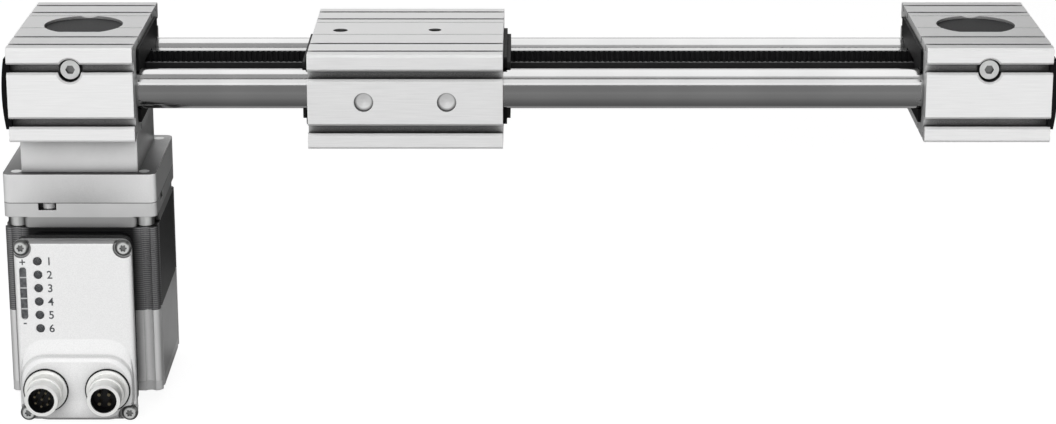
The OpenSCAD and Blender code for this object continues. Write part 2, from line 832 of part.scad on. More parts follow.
// A plate on the carriage's end, notched for the rods and open for the belt
module end_piece(x, thickness, width, height, rod_gap) {
    translate([x, 0, 0]) difference() {
        translate([0, 0, carriage_z + 0.6]) along_x(thickness) round_rect(width, height, 1.5);
        for (side = [-1, 1])
            translate([0, side * rod_y, guide_z]) pin_x(rod_d + 2 * rod_gap, thickness + 2 * past);
        translate([0, 0, guide_z])
            cube([thickness + 2 * past, 2 * belt_out_r + 1, belt_w + 1], center = true);
    }
}

module end_plate(side) {
    color(BLACK) end_piece(carriage_x + side * (carriage_l + end_plate_t) / 2,
        end_plate_t, end_plate_w, end_plate_h, 0.4);
}

module wiper(side) {
    color(BLACK) end_piece(carriage_x + side * (carriage_l / 2 + end_plate_t + wiper_t / 2),
        wiper_t, end_plate_w - 2 * wiper_step, end_plate_h - 4 * wiper_step, 0.1);
}

module carriage_drive_end_plate() {
    end_plate(-1);
}

module carriage_idler_end_plate() {
    end_plate(1);
}

module carriage_drive_wiper() {
    wiper(-1);
}

module carriage_idler_wiper() {
    wiper(1);
}

module rod_bushings() {
    color(BRASS) for (end = [-1, 1], side = [-1, 1])
        translate([carriage_x + end * (carriage_l - bushing_l) / 2, side * rod_y, guide_z]) difference() {
            pin_x(bushing_d, bushing_l);
            pin_x(rod_d + 2 * rod_clear, bushing_l + 2 * past);
        }
}

// Block between the runs, screwed to the carriage's roof
module belt_clamp_block() {
    front = -belt_tip_r + jaw_clear;
    back = belt_tip_r - clamp_block_gap;
    color(CAST) translate([carriage_x, 0, 0]) difference() {
        translate([clamp_x - clamp_l / 2, front, guide_z - belt_w / 2])
            cube([clamp_l, back - front, clamp_roof - guide_z + belt_w / 2]);
        for (p = clamp_screws)
            translate([p[0], p[1], 0]) post(clamp_thread_d + 0.1, guide_z - belt_w, 0, 32);
    }
}

// Plate on the back of the front run that presses the belt against the block
module belt_clamp_jaw() {
    gap = belt_room_y - belt_out_r;
    color(CAST) translate([carriage_x + clamp_x - clamp_l / 2, -belt_room_y, guide_z - belt_w / 2])
        cube([clamp_l, gap - jaw_clear, clamp_roof - guide_z + belt_w / 2]);
}

module belt_clamp_screws() {
    color(STEEL) translate([carriage_x, 0, 0]) for (p = clamp_screws)
        translate([p[0], p[1], clamp_roof])
            cap_screw(clamp_thread_head_d, clamp_thread_head_h, clamp_thread_d, 3 * clamp_thread_d);
}

// ---------- Coupling and adapter ----------

module housing_screw_places() {
    for (x = [-1, 1], y = [-1, 1])
        translate([x * housing_screw_x, y * housing_screw_y, 0]) children();
}

module adapter_screw_places() {
    for (x = [-1, 1], y = [-1, 1])
        translate([x * housing_screw_x, y * adapter_screw_y, 0]) children();
}

module motor_screw_places() {
    for (x = [-1, 1], y = [-1, 1])
        translate([x * motor_screw_gap / 2, y * motor_screw_gap / 2, 0]) children();
}

module coupling_housing() {
    color(ALUMINIUM) translate([-cap_x, 0, 0]) difference() {
        translate([0, 0, adapter_top]) linear_extrude(coupling_box_h)
            round_rect(coupling_box_l, coupling_box_w, 0.6);
        post(coupling_bore_d, adapter_top - past, box_top + past, 64);
        housing_screw_places() {
            post(housing_screw_d + 0.1, adapter_top - past, box_top + past, 32);
            post(housing_head_d + 0.3, adapter_top - past, adapter_top + housing_sink, 32);
        }
        adapter_screw_places()
            post(adapter_core_d + 0.1, adapter_top - past, adapter_top + adapter_screw_reach, 32);
    }
}

module coupling_housing_screws() {
    length = coupling_box_h - housing_sink + housing_screw_reach - 0.5;
    color(STEEL) translate([-cap_x, 0, 0]) housing_screw_places()
        translate([0, 0, adapter_top + housing_sink]) rotate([180, 0, 0])
            cap_screw(housing_head_d, housing_screw_d, housing_screw_d, length);
}

// Ring sector of the coupling, centred on an angle
module sector(inner_d, outer_d, angle, middle, h) {
    rotate([0, 0, middle - angle / 2]) rotate_extrude(angle = angle, $fn = 64)
        translate([inner_d / 2, 0]) square([(outer_d - inner_d) / 2, h]);
}

// Hub with a bore for its shaft and two jaws that reach into the spider
module hub(bottom, bore_d, jaws_from, turn) {
    difference() {
        post(hub_d, bottom, bottom + hub_l, 64);
        post(bore_d + 2 * seat_clear, bottom - past, bottom + hub_l + past, 48);
    }
    for (i = [0, 1])
        translate([0, 0, jaws_from]) sector(hub_d * 0.45, hub_d, jaw_angle, turn + i * 180, jaw_h + jaw_root);
}

module coupling_drive_hub() {
    color(ALUMINIUM) translate([-cap_x, 0, 0]) hub(spider_top, shaft_d, spider_bottom, coupling_turn);
}

module coupling_motor_hub() {
    color(ALUMINIUM) translate([-cap_x, 0, 0])
        hub(spider_bottom - hub_l, motor_shaft_d, spider_bottom - jaw_root, coupling_turn + 90);
}

// Plan of the spider: four wedge arms on a core, open in the middle
module spider_outline() {
    reach = hub_d * cos(arm_angle / 2);
    spread = hub_d * sin(arm_angle / 2);
    difference() {
        union() {
            circle(d = hub_d * 0.43, $fn = 48);
            intersection() {
                circle(d = hub_d - 2 * turn_clear, $fn = 64);
                for (i = [0 : 3])
                    rotate(coupling_turn + 45 + i * 90) polygon([[0, 0], [reach, -spread], [reach, spread]]);
            }
        }
        circle(d = hub_d * 0.2, $fn = 40);
    }
}

module coupling_spider() {
    color("#b23a2e") translate([-cap_x, 0, spider_bottom + spider_play])
        linear_extrude(jaw_h - 2 * spider_play) spider_outline();
}

module adapter_plate() {
    color(CAST) translate([-cap_x, 0, 0]) difference() {
        translate([0, 0, flange_top]) linear_extrude(adapter_t)
            round_rect(motor_w, motor_w, motor_corner_r);
        post(coupling_bore_d, flange_top - past, adapter_top + past, 64);
        post(pilot_d + 0.1, flange_top - past, flange_top + pilot_h + 0.4, 96);
        motor_screw_places() post(motor_screw_d + 0.1, flange_top - past, adapter_top + past, 32);
        adapter_screw_places() {
            post(housing_screw_d + 0.2, flange_top - past, adapter_top + past, 32);
            post(housing_head_d + 0.5, flange_top - past, flange_top + adapter_sink, 32);
        }
    }
}

module adapter_screws() {
    color(STEEL) translate([-cap_x, 0, 0]) adapter_screw_places()
        translate([0, 0, flange_top + adapter_sink]) rotate([180, 0, 0])
            cap_screw(housing_head_d, housing_screw_d, adapter_core_d,
                adapter_t - adapter_sink + adapter_screw_reach - 0.5);
}

// ---------- Motor ----------

// Outline of the motor: a square whose corners are round lobes beside shallow hollows
module motor_outline() {
    hollow_r = 2.4;
    half = motor_w / 2;
    difference() {
        round_rect(motor_w, motor_w, motor_corner_r);
        for (turn = [0 : 3]) rotate(turn * 90)
            for (side = [-1, 1])
                translate([side * (half - 4.4), half + hollow_r - 0.9]) circle(hollow_r, $fn = 32);
    }
}

// Outline of the bell below the flange: open at each corner for a screw's head, with round shoulders
module bell_outline() {
    open = motor_screw_gap / 2 - motor_head_d / 2 - 1.6;
    shoulder_r = 2;
    difference() {
        square([motor_w, motor_w], center = true);
        for (x = [-1, 1], y = [-1, 1]) translate([x * motor_w / 2, y * motor_w / 2]) difference() {
            square(motor_w - 2 * open, center = true);
            translate([-x * (motor_w / 2 - open), -y * shoulder_r]) circle(shoulder_r, $fn = 32);
        }
    }
}

// The four slots in the flange's upper edge, their back walls at y = 0 and their mouths towards -Y
module flange_slots() {
    for (turn = [0 : 3]) rotate(turn * 90)
        translate([-slot_x, motor_front + slot_in, 0]) children();
}

module motor_flange() {
    color(CAST) translate([-cap_x, 0, 0]) difference() {
        union() {
            translate([0, 0, bell_top]) linear_extrude(flange_h) round_rect(motor_w, motor_w, motor_corner_r);
            translate([0, 0, stack_top]) linear_extrude(bell_h) bell_outline();
            post(pilot_d, flange_top, flange_top + pilot_h, 96);
        }
        post(motor_shaft_d + 5, stack_top - past, flange_top + pilot_h + past, 48);
        post(motor_bearing_d + 2 * seat_clear, stack_top - past, stack_top + motor_bearing_w + 2, 64);
        motor_screw_places() post(motor_screw_d + 0.2, stack_top - past, flange_top + past, 32);
        flange_slots() translate([-slot_w / 2, -slot_in - past, flange_top - slot_h])
            cube([slot_w, slot_in + past, slot_h + past]);
    }
    color(CAST) translate([-cap_x, 0, 0]) flange_slots()
        post(slot_peg_d, flange_top - slot_h - 0.3, flange_top - 0.8, 32);
}

module motor_bearings() {
    color(STEEL) translate([-cap_x, 0, 0]) {
        for (z = [stack_top + 2, stack_bottom - motor_bearing_w - 2])
            translate([0, 0, z]) bearing(motor_bearing_d, motor_shaft_d + 2 * rod_clear, motor_bearing_w);
    }
}

module motor_stack() {
    color(BLACK) translate([-cap_x, 0, 0]) difference() {
        translate([0, 0, stack_bottom]) linear_extrude(stack_h) motor_outline();
        post(rotor_d + 2 * air_gap, stack_bottom - past, stack_top + past, 64);
    }
}

module motor_end_bell() {
    color(CAST) translate([-cap_x, 0, 0]) difference() {
        translate([0, 0, stack_bottom - end_bell_h]) linear_extrude(end_bell_h) motor_outline();
        post(motor_bearing_d + 2 * seat_clear, stack_bottom - motor_bearing_w - 2, stack_bottom + past, 64);
        post(motor_shaft_d + 3, stack_bottom - rear_shaft_l - 4, stack_bottom, 48);
    }
}

module motor_end_cap() {
    color(CAST) translate([-cap_x, 0, motor_bottom]) linear_extrude(end_plate_bottom_h) motor_outline();
}

// Four screws from under the flange up into the adapter, their ends level with its top
module motor_screws() {
    color(STEEL) translate([-cap_x, 0, bell_top]) motor_screw_places()
        rotate([180, 0, 0]) cap_screw(motor_head_d, motor_screw_d - 0.2, motor_screw_d, adapter_t + flange_h);
}

module motor_rotor() {
    color(STEEL) translate([-cap_x, 0, 0]) {
        post(motor_shaft_d, stack_bottom - rear_shaft_l, motor_shaft_top);
        post(rotor_d, stack_bottom + rotor_end_gap, stack_top - rotor_end_gap, 64);
    }
}

// ---------- Controller ----------

// Children are placed at the middle of the controller's width
module at_controller() {
    translate([-cap_x, 0, 0]) children();
}

module cover_screw_places() {
    for (x = [-1, 1], z = [-1, 1])
        translate([x * cover_screw_w / 2, 0, cover_mid + z * cover_screw_h / 2]) children();
}

module button_places() {
    for (i = [0 : button_count - 1]) at_button(i) children();
}

module at_button(i) {
    translate([-button_x, 0, cover_top - button_first - i * button_gap]) children();
}

module socket_places() {
    for (side = [-1, 1]) translate([side * socket_x, 0, socket_z]) children();
}

module window_outline(clear) {
    translate([-window_x, window_mid]) round_rect(window_w - 2 * clear, window_l - 2 * clear,
        window_w / 2 - clear - 0.01);
}

module controller_housing() {
    height = housing_top - housing_bottom;
    color(BLACK) at_controller() difference() {
        union() {
            along_y(housing_front, housing_front + rim_d) translate([0, cover_mid])
                round_rect(controller_w, height, housing_r);
            along_y(housing_front + rim_d - 1, motor_front) translate([0, cover_mid])
                round_rect(controller_w - 2 * neck_step, height - 2 * neck_step, housing_r);
            cover_screw_places() pin_y(cover_thread_d + 2, housing_front, housing_front + cover_boss_l);
        }
        button_places() pin_y(button_rim_d + 0.6, housing_front - past, housing_front + 3);
        along_y(housing_front - past, housing_front + window_seat + 0.1) window_outline(0);
        cover_screw_places()
            pin_y(cover_thread_d + 0.1, housing_front - past, housing_front + cover_boss_l - 0.5, 32);
        socket_places() pin_y(socket_base_d + 0.1, housing_front - past, housing_front + 8);
    }
}

// Outline that turns the front edges of a slab round, from half the width w, back to front
function soft_edge(w, back, front, r, n = 5) =
    concat(
        [[-w / 2, back]],
        [for (i = [0 : n]) let (a = i * 90 / n) [-w / 2 + r - r * cos(a), front + r - r * sin(a)]],
        [for (i = [0 : n]) let (a = 90 - i * 90 / n) [w / 2 - r + r * cos(a), front + r - r * sin(a)]],
        [[w / 2, back]]
    );

// Slab with round corners and softened front edges, its front towards -Y
module soft_slab(w, h, mid, back, front, corner_r, edge_r) {
    intersection() {
        along_y(front, back) translate([0, mid]) round_rect(w, h, corner_r);
        translate([0, 0, mid - h / 2]) linear_extrude(h) polygon(soft_edge(w, back, front, edge_r));
        translate([0, 0, mid]) rotate([0, 90, 0]) linear_extrude(w, center = true)
            polygon(soft_edge(h, back, front, edge_r));
    }
}

// One layer of the raised zone: its lower edge, its height, how much narrower it is than the cover,
// and the share of the zone's step at which its face lies
module zone_layer(low, h, narrower, share) {
    corner_r = 9;
    along_y(cover_face - share * zone_step, housing_front - 0.5)
        translate([0, low + h / 2]) round_rect(cover_w - narrower, h, corner_r);
}

// Raised zone of the cover round the connectors, with a wide skirt that runs into the upper zone
module connector_zone() {
    low = cover_bottom + 0.2;
    skirt = 8;
    hull() {
        zone_layer(low, zone_h + skirt, 2 * cover_edge, -0.1);
        zone_layer(low + 0.4, zone_h + 0.4, 1.8, 0.3);
    }
    hull() {
        zone_layer(low + 0.4, zone_h, 1.7, 0.2);
        zone_layer(low + 0.8, zone_h - 1.2, 2.6, 0.75);
        zone_layer(low + 1.8, zone_h - 3.4, 4.6, 1);
    }
}

module controller_cover() {
    color(CAST) at_controller() difference() {
        union() {
            soft_slab(cover_w, cover_h, cover_mid, housing_front, cover_face, 3.6, cover_edge);
            connector_zone();
        }
        cover_screw_places() {
            pin_y(cover_head_d + 1.6, zone_face - past, housing_front - screw_sink);
            pin_y(cover_thread_d + 0.7, zone_face - past, housing_front + past, 32);
        }
        button_places() pin_y(button_hole_d, cover_face - past, housing_front + past);
        along_y(zone_face - past, housing_front + past) window_outline(0);
        socket_places() pin_y(socket_base_d + 0.1, zone_face - past, housing_front + past, 64);
    }
}

// Plan of a six-lobed recess
module lobed_recess(d) {
    circle(d = d * 0.7, $fn = 32);
    for (i = [0 : 5])
        rotate(i * 60) translate([d * 0.36, 0]) circle(d = d * 0.28, $fn = 20);
}

// Pan-head screws that hold the cover, their edges sloped and their recess six-lobed
module cover_screws() {
    seat = housing_front - screw_sink;
    top = seat - cover_head_h;
    color(STEEL) at_controller() cover_screw_places() difference() {
        union() {
            pin_y(cover_head_d, seat - cover_head_h / 2, seat);
            translate([0, seat - cover_head_h / 2, 0]) rotate([90, 0, 0])
                cylinder(h = cover_head_h / 2, d1 = cover_head_d, d2 = cover_head_d - cover_head_h, $fn = 40);
            pin_y(cover_thread_d, seat, housing_front + cover_boss_l - 1, 32);
        }
        along_y(top - past, top + cover_head_h / 2) lobed_recess(cover_head_d * 0.45);
    }
}

module level_window() {
    color(DARK) at_controller()
        along_y(cover_face + 0.2, housing_front + window_seat) window_outline(seat_clear);
}

// One push button: a stem in the cover's hole and a rim that keeps it behind the cover
module push_button(i) {
    dome_r = (button_d * button_d / 4 + button_dome * button_dome) / (2 * button_dome);
    back = housing_front + 0.1 + button_rim_t;
    color(DARK) at_controller() at_button(i) {
        intersection() {
            pin_y(button_d, cover_face - button_proud, back);
            translate([0, cover_face - button_proud + dome_r, 0]) sphere(dome_r, $fn = 96);
        }
        pin_y(button_d, cover_face - button_proud + button_dome, back);
        pin_y(button_rim_d, back - button_rim_t, back);
    }
}

// Threaded shell of a connector, open at its front, along -Y
module connector(side) {
    color(STEEL) at_controller() translate([side * socket_x, 0, socket_z]) difference() {
        union() {
            pin_y(socket_base_d, zone_face - socket_base_t, housing_front + 2, 64);
            pin_y(socket_d + 1.2, zone_face - socket_neck_l, zone_face, 64);
            pin_y(socket_d, socket_tip, zone_face, 64);
        }
        pin_y(socket_room_d, socket_tip - past, socket_tip + insert_drop + insert_t, 64);
    }
}

module logic_connector() {
    connector(-1);
}

module power_connector() {
    connector(1);
}

// Pins on their black insert at the bottom of a connector's cavity
module connector_insert(side, pins, circle_d, pin_d, middle) {
    floor_y = socket_tip + insert_drop;
    color(BLACK) at_controller() translate([side * socket_x, 0, socket_z]) {
        pin_y(socket_room_d - 2 * seat_clear, floor_y, floor_y + insert_t, 48);
        for (i = [0 : pins - 1])
            rotate([0, i * 360 / pins + 45, 0]) translate([circle_d / 2, 0, 0])
                pin_y(pin_d, floor_y - contact_l, floor_y + 0.1, 16);
        if (middle)
            pin_y(pin_d, floor_y - contact_l, floor_y + 0.1, 16);
    }
}

module logic_pins() {
    connector_insert(-1, 7, 5.5, 0.8, true);
}

module power_pins() {
    connector_insert(1, 4, 5, 1.2, false);
}

// Flat rings that seal the connectors against the cover
module connector_seals() {
    color(BLACK) at_controller() socket_places() difference() {
        pin_y(socket_base_d + 2 * seal_w, zone_face - seal_t, zone_face, 64);
        pin_y(socket_base_d + 0.1, zone_face - past, zone_face + past, 64);
    }
}

// ---------- Every piece in its node ----------

drive_cap();
idler_cap();
front_guide_rod();
rear_guide_rod();
drive_outer_cover();
idler_outer_cover();
drive_inner_cover();
idler_inner_cover();
drive_top_plug();
idler_top_plug();
idler_bottom_plug();
drive_bearing_holder();
idler_bearing_holder();
drive_bearings();
idler_bearings();
cap_clamp_screws();
toothed_belt();
drive_pulley();
drive_shaft();
idler_pulley();
idler_shaft();
carriage_body();
carriage_drive_end_plate();
carriage_idler_end_plate();
carriage_drive_wiper();
carriage_idler_wiper();
rod_bushings();
belt_clamp_block();
belt_clamp_jaw();
belt_clamp_screws();
coupling_housing();
coupling_drive_hub();
coupling_spider();
coupling_motor_hub();
coupling_housing_screws();
adapter_plate();
adapter_screws();
motor_flange();
motor_stack();
motor_end_bell();
motor_end_cap();
motor_screws();
motor_bearings();
motor_rotor();
controller_housing();
controller_cover();
cover_screws();
level_window();
logic_connector();
power_connector();
logic_pins();
power_pins();
connector_seals();
push_button(0);  // button_1
push_button(1);  // button_2
push_button(2);  // button_3
push_button(3);  // button_4
push_button(4);  // button_5
push_button(5);  // button_6
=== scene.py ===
# %% [markdown]
# # A belt driven linear axis with its motor and controller
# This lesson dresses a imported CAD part. The CAD gives every solid its exact shape and place, so the
# work here is light, a camera, a finish for each real material, and the thin print that is too
# slight for the solids. Each cell adds one thing and prints what it made.

import bpy
import numpy as np
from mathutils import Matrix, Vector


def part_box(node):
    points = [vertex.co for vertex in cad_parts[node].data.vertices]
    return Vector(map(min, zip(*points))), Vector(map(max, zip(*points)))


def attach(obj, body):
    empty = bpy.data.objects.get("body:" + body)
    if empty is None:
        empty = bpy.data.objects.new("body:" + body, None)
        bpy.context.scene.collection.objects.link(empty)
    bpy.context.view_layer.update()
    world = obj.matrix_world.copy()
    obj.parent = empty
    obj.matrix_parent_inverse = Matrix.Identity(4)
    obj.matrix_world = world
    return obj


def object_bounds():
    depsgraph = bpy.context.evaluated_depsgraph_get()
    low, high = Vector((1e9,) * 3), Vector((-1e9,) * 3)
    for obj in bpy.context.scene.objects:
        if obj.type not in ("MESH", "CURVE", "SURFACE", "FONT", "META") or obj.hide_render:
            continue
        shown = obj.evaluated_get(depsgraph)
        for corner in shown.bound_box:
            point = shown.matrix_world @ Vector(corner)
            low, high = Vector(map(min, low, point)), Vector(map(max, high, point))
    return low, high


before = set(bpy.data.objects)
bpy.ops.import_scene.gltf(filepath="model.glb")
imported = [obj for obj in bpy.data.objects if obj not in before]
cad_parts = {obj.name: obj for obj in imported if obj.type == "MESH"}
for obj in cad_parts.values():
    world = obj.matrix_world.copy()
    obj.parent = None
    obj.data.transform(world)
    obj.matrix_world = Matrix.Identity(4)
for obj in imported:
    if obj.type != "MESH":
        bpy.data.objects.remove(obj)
cad_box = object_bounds()
MM = 0.001

# %% [markdown]
# ## The camera
# The axis is looked at from the front and a little from above, from about a metre away, as in a
# catalogue. A long lens at that distance keeps the verticals nearly upright. The camera could aim
# at an empty with a constraint, but a place and a pitch are easier to read and never drift.

# %% Camera
CAMERA_PLACE = (-0.0006, -1.0798, 0.2454)
CAMERA_PITCH_DEG = 16.414
LENS_MM = 101.37
camera = bpy.data.objects.new("camera", bpy.data.cameras.new("camera"))
camera.data.lens = LENS_MM
camera.data.sensor_width = 36
camera.location = CAMERA_PLACE
camera.rotation_euler = (np.radians(90 - CAMERA_PITCH_DEG), 0, 0)
bpy.context.scene.collection.objects.link(camera)
bpy.context.scene.camera = camera
print("camera pitch", CAMERA_PITCH_DEG, "deg, lens", LENS_MM, "mm")

# %% [markdown]
# ## Colours and nodes
# Hex colours are written as they look on a screen. A shader works in linear light, so one function
# turns them. One helper adds any node: named settings go on the node, and each input gets either a
# value or a link from another node's output.


# %% Helpers for colours and nodes
def linear(hex_colour):
    """Each channel c of the screen colour is c / 12.92 up to 0.04045, and else
    ((c + 0.055) / 1.055) ** 2.4."""
    c = np.array([int(hex_colour[i : i + 2], 16) for i in (1, 3, 5)]) / 255
    lin = np.where(c <= 0.04045, c / 12.92, ((c + 0.055) / 1.055) ** 2.4)
    return (*lin.tolist(), 1.0)


def add(tree, kind, inputs=None, **settings):
    """Adds one shader node, sets its properties, and links or sets its inputs by name or number."""
    node = tree.nodes.new("ShaderNode" + kind)
    for key, value in settings.items():
        setattr(node, key, value)
    for key, value in (inputs or {}).items():
        socket = node.inputs[key]
        if isinstance(value, bpy.types.NodeSocket):
            tree.links.new(value, socket)
        else:
            socket.default_value = value
    return node


def new_material(name, **shader_inputs):
    """A material with one Principled shader, its tree, the shader and the Object coordinates."""
    material = bpy.data.materials.new(name)
    material.use_nodes = True
    tree = material.node_tree
    shader = tree.nodes["Principled BSDF"]
    for key, value in shader_inputs.items():
        shader.inputs[key.replace("_", " ")].default_value = value
    place = tree.nodes.new("ShaderNodeTexCoord").outputs["Object"]
    return material, tree, shader, place


def connect(tree, shader, **outputs):
    """Links outputs to the shader's inputs; Base_Color stands for Base Color."""
    for key, output in outputs.items():
        tree.links.new(output, shader.inputs[key.replace("_", " ")])


def grain(size_mm):
    """Noise cells per metre for a grain of that many millimetres."""
    return 1000 / size_mm


# %% [markdown]
# ## Edges that catch the light
# No machined edge is truly sharp: a broken edge of a few tenths of a millimetre shows as a thin
# bright line. The CAD meshes are loose triangles, so a Bevel modifier can't work on them. Cycles'
# Bevel node rounds only the shading, which is all that such a small edge needs.


# %% Soft edge and surface grain in one normal
def surface_normal(tree, place, edge_mm, grain_mm, depth_mm, stretch=(1, 1, 1)):
    """The normal of a rounded edge, disturbed by noise of the given grain and depth, and the noise."""
    spread = add(tree, "Mapping", {"Vector": place, "Scale": stretch}).outputs[0]
    noise = add(tree, "TexNoise", {"Vector": spread, "Scale": grain(grain_mm), "Detail": 3.0})
    bump = add(
        tree, "Bump", {"Strength": 1.0, "Distance": depth_mm * MM, "Height": noise.outputs["Fac"]}
    )
    edge = add(tree, "Bevel", {"Radius": edge_mm * MM}, samples=4)
    tree.links.new(edge.outputs[0], bump.inputs["Normal"])
    return bump.outputs[0], noise.outputs["Fac"]


# %% Tones that follow a number
def varied(tree, factor, low, high, frm=0.35, to=0.65):
    """A number that follows a factor: low up to frm, high from to on, and in proportion between."""
    span = add(
        tree,
        "MapRange",
        {"Value": factor, "From Min": frm, "From Max": to, "To Min": low, "To Max": high},
    )
    return span.outputs[0]


def mixed(tree, factor, a, b):
    """The colour between a and b that a number from 0 to 1 picks."""
    mix = add(tree, "Mix", {"Factor": factor, "A": a, "B": b}, data_type="RGBA")
    return mix.outputs["Result"]


def two_tones(tree, factor, dark, light):
    """The colour between two hex tones that a number from 0 to 1 picks."""
    return mixed(tree, factor, linear(dark), linear(light))


def along(tree, place, axis):
    """One coordinate of a place or one part of a normal: X, Y or Z."""
    return add(tree, "SeparateXYZ", {"Vector": place}).outputs[axis]


def math(tree, operation, a, b=0.0):
    """One step of arithmetic on numbers or node outputs."""
    return add(tree, "Math", {0: a, 1: b}, operation=operation).outputs[0]


def dimmed(tree, colour, share):
    """The colour times a share from 0 to 1."""
    return mixed(tree, share, (0, 0, 0, 1), colour)


SHADE_FROM, SHADE_TO = 0.39, 0.95


def shaded(tree, colour, reach_mm, darkest, kept=0.0):
    """The colour, dimmed in slots and corners: light that lies within reach_mm of other walls of the
    same part is lost, down to the share called darkest, but never below the share called kept."""
    open_sky = add(tree, "AmbientOcclusion", {"Distance": reach_mm * MM}, samples=12).outputs["AO"]
    share = varied(tree, open_sky, darkest, 1.0, SHADE_FROM, SHADE_TO)
    return dimmed(tree, colour, math(tree, "MAXIMUM", share, kept))


def cloud(tree, place, size_mm, low=0.0, high=1.0):
    """A soft, wide noise for slow changes of tone over a surface."""
    noise = add(tree, "TexNoise", {"Vector": place, "Scale": grain(size_mm), "Detail": 2.0})
    return varied(tree, noise.outputs["Fac"], low, high)


# %% [markdown]
# ## Places told from coordinates
# Some marks lie at a known place: the joint between two castings, or the floor of a bore that
# is kept clear of painted shade. Their distance from an axis or a plane, worked out from Object
# coordinates, gives a number that a finish can follow.


# %% Distances from axes and joints
def from_axis_pair(tree, place, middle, half, height):
    """The distance from the nearer of two axes along Y, folded by the absolute value of X: the square
    root of (|x - middle| - half)**2 + (z - height)**2."""
    x = math(tree, "ABSOLUTE", math(tree, "SUBTRACT", along(tree, place, "X"), middle))
    x = math(tree, "SUBTRACT", x, half)
    z = math(tree, "SUBTRACT", along(tree, place, "Z"), height)
    both = add(tree, "CombineXYZ", {"X": x, "Y": z}).outputs[0]
    return add(tree, "VectorMath", {0: both}, operation="LENGTH").outputs["Value"]


def joint_line(tree, place, height_mm, width_mm=0.2, darkest=0.3):
    """A share that falls to darkest within width_mm of a level joint, and is 1 elsewhere."""
    away = math(tree, "SUBTRACT", along(tree, place, "Z"), height_mm * MM)
    away = math(tree, "ABSOLUTE", away)
    return varied(tree, away, darkest, 1.0, width_mm * MM * 0.6, width_mm * MM)


# %% [markdown]
# ## Clear anodised aluminium
# The two end caps and the carriage are cut from extruded bars, blasted with fine beads and clear
# anodised. The oxide is a thin glassy skin on a finely pitted metal, so the surface is a pale
# satin silver. The die leaves faint lines along the bar, so the noise is drawn out along X. The
# caps are blasted longer than the carriage, so they mirror less; one function makes both. Slots and
# grooves get painted shade, which is held off the floors of the carriage's two centring bores.


# %% Where the bores of the carriage lie
carriage_low, carriage_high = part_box("carriage_body")
BORE_MIDDLE = (carriage_low.x + carriage_high.x) / 2
BORE_HALF_MM, BORE_HEIGHT_MM, BORE_RADIUS_MM, BORE_RIM_MM = 15.0, -20.0, 3.45, 0.9
BORE_SHARE = 0.82


def unshaded_bore_floors(tree, place):
    """A share that keeps the painted shade off the bores' floors, and is 0 outside the bores."""
    away = from_axis_pair(tree, place, BORE_MIDDLE, BORE_HALF_MM * MM, BORE_HEIGHT_MM * MM)
    flat_mm = BORE_RADIUS_MM - BORE_RIM_MM
    return varied(tree, away, BORE_SHARE, 0.0, flat_mm * MM, BORE_RADIUS_MM * MM)


# %% Anodised aluminium
SLOT_REACH_MM, SLOT_DARKEST = 11, 0.03


def extruded(name, metallic, dark, light, rough, bright=None):
    """Blasted aluminium: two close tones in lines along X, dimmed inside slots and grooves."""
    material, tree, shader, place = new_material(name, Metallic=metallic)
    normal, lines = surface_normal(
        tree, place, edge_mm=0.25, grain_mm=0.5, depth_mm=0.008, stretch=(0.04, 1, 1)
    )
    tone = two_tones(tree, varied(tree, lines, 0, 1, 0.3, 0.7), dark, light)
    kept = bright(tree, place) if bright else 0.0
    tone = shaded(tree, tone, SLOT_REACH_MM, SLOT_DARKEST, kept)
    connect(tree, shader, Base_Color=tone, Roughness=varied(tree, lines, *rough), Normal=normal)
    print("made", material.name)
    return material


anodised = extruded("anodised_aluminium_blasted", 0.15, "#E1E1E1", "#E8E8E8", (0.38, 0.5))
anodised_satin = extruded(
    "anodised_aluminium_satin", 0.35, "#E2E2E2", "#EAEAEA", (0.34, 0.44), unshaded_bore_floors
)

# %% [markdown]
# ## Milled aluminium
# The coupling's housing is milled from a block and left bare. The cutter leaves fine, nearly level
# lines, so the noise is stretched along X and Y and squeezed along Z. It mirrors more than the
# blasted parts do.

# %% Milled aluminium
milled, tree, shader, place = new_material("bare_aluminium_milled", Metallic=0.4)
normal, lines = surface_normal(
    tree, place, edge_mm=0.3, grain_mm=0.5, depth_mm=0.004, stretch=(0.08, 0.08, 1)
)
tone = shaded(tree, two_tones(tree, cloud(tree, place, 14), "#EAEAEA", "#F0F0F0"), 14, 0.05)
connect(tree, shader, Base_Color=tone, Roughness=varied(tree, lines, 0.32, 0.36), Normal=normal)
print("made", milled.name)

# %% [markdown]
# ## Die-cast aluminium
# The adapter plate, the motor's flange and bell, and the small pulleys are pressure die castings,
# tumbled after casting. Casting leaves soft edges and a faint orange-peel of about 1 mm with a
# grey cast skin, duller than a milled face. The adapter plate is a ledge under the cap: little light
# falls on its upper face, least of all at the front, and this shade is painted into its colour.
# Plate and flange meet in a thin dark joint. The plate and the bell are painted lighter and the
# flange darker than the other castings, as painted light and shade; the bell's sides and the neck
# under the flange get painted shade too, and the flange's pegs are kept clear of it.

# %% Shade on the ledge and in the joint
adapter_low, adapter_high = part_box("adapter_plate")
JOINT_MM = adapter_low.z / MM
FLANGE_MM = 5.3
NECK_MM = JOINT_MM - FLANGE_MM
SLOT_DEEP_MM = 2.75
MOTOR_X = (adapter_low.x + adapter_high.x) / 2
LEDGE_FRONT_MM, LEDGE_BACK_MM = -20, 22
PEG_ASIDE_MM, PEG_OUT_MM, PEG_RADIUS_MM = 12.0, 24.2, 2.1
LEDGE_LOSS, NECK_SHARE, SIDE_SHADE_SHARE = 0.85, 0.55, 0.62


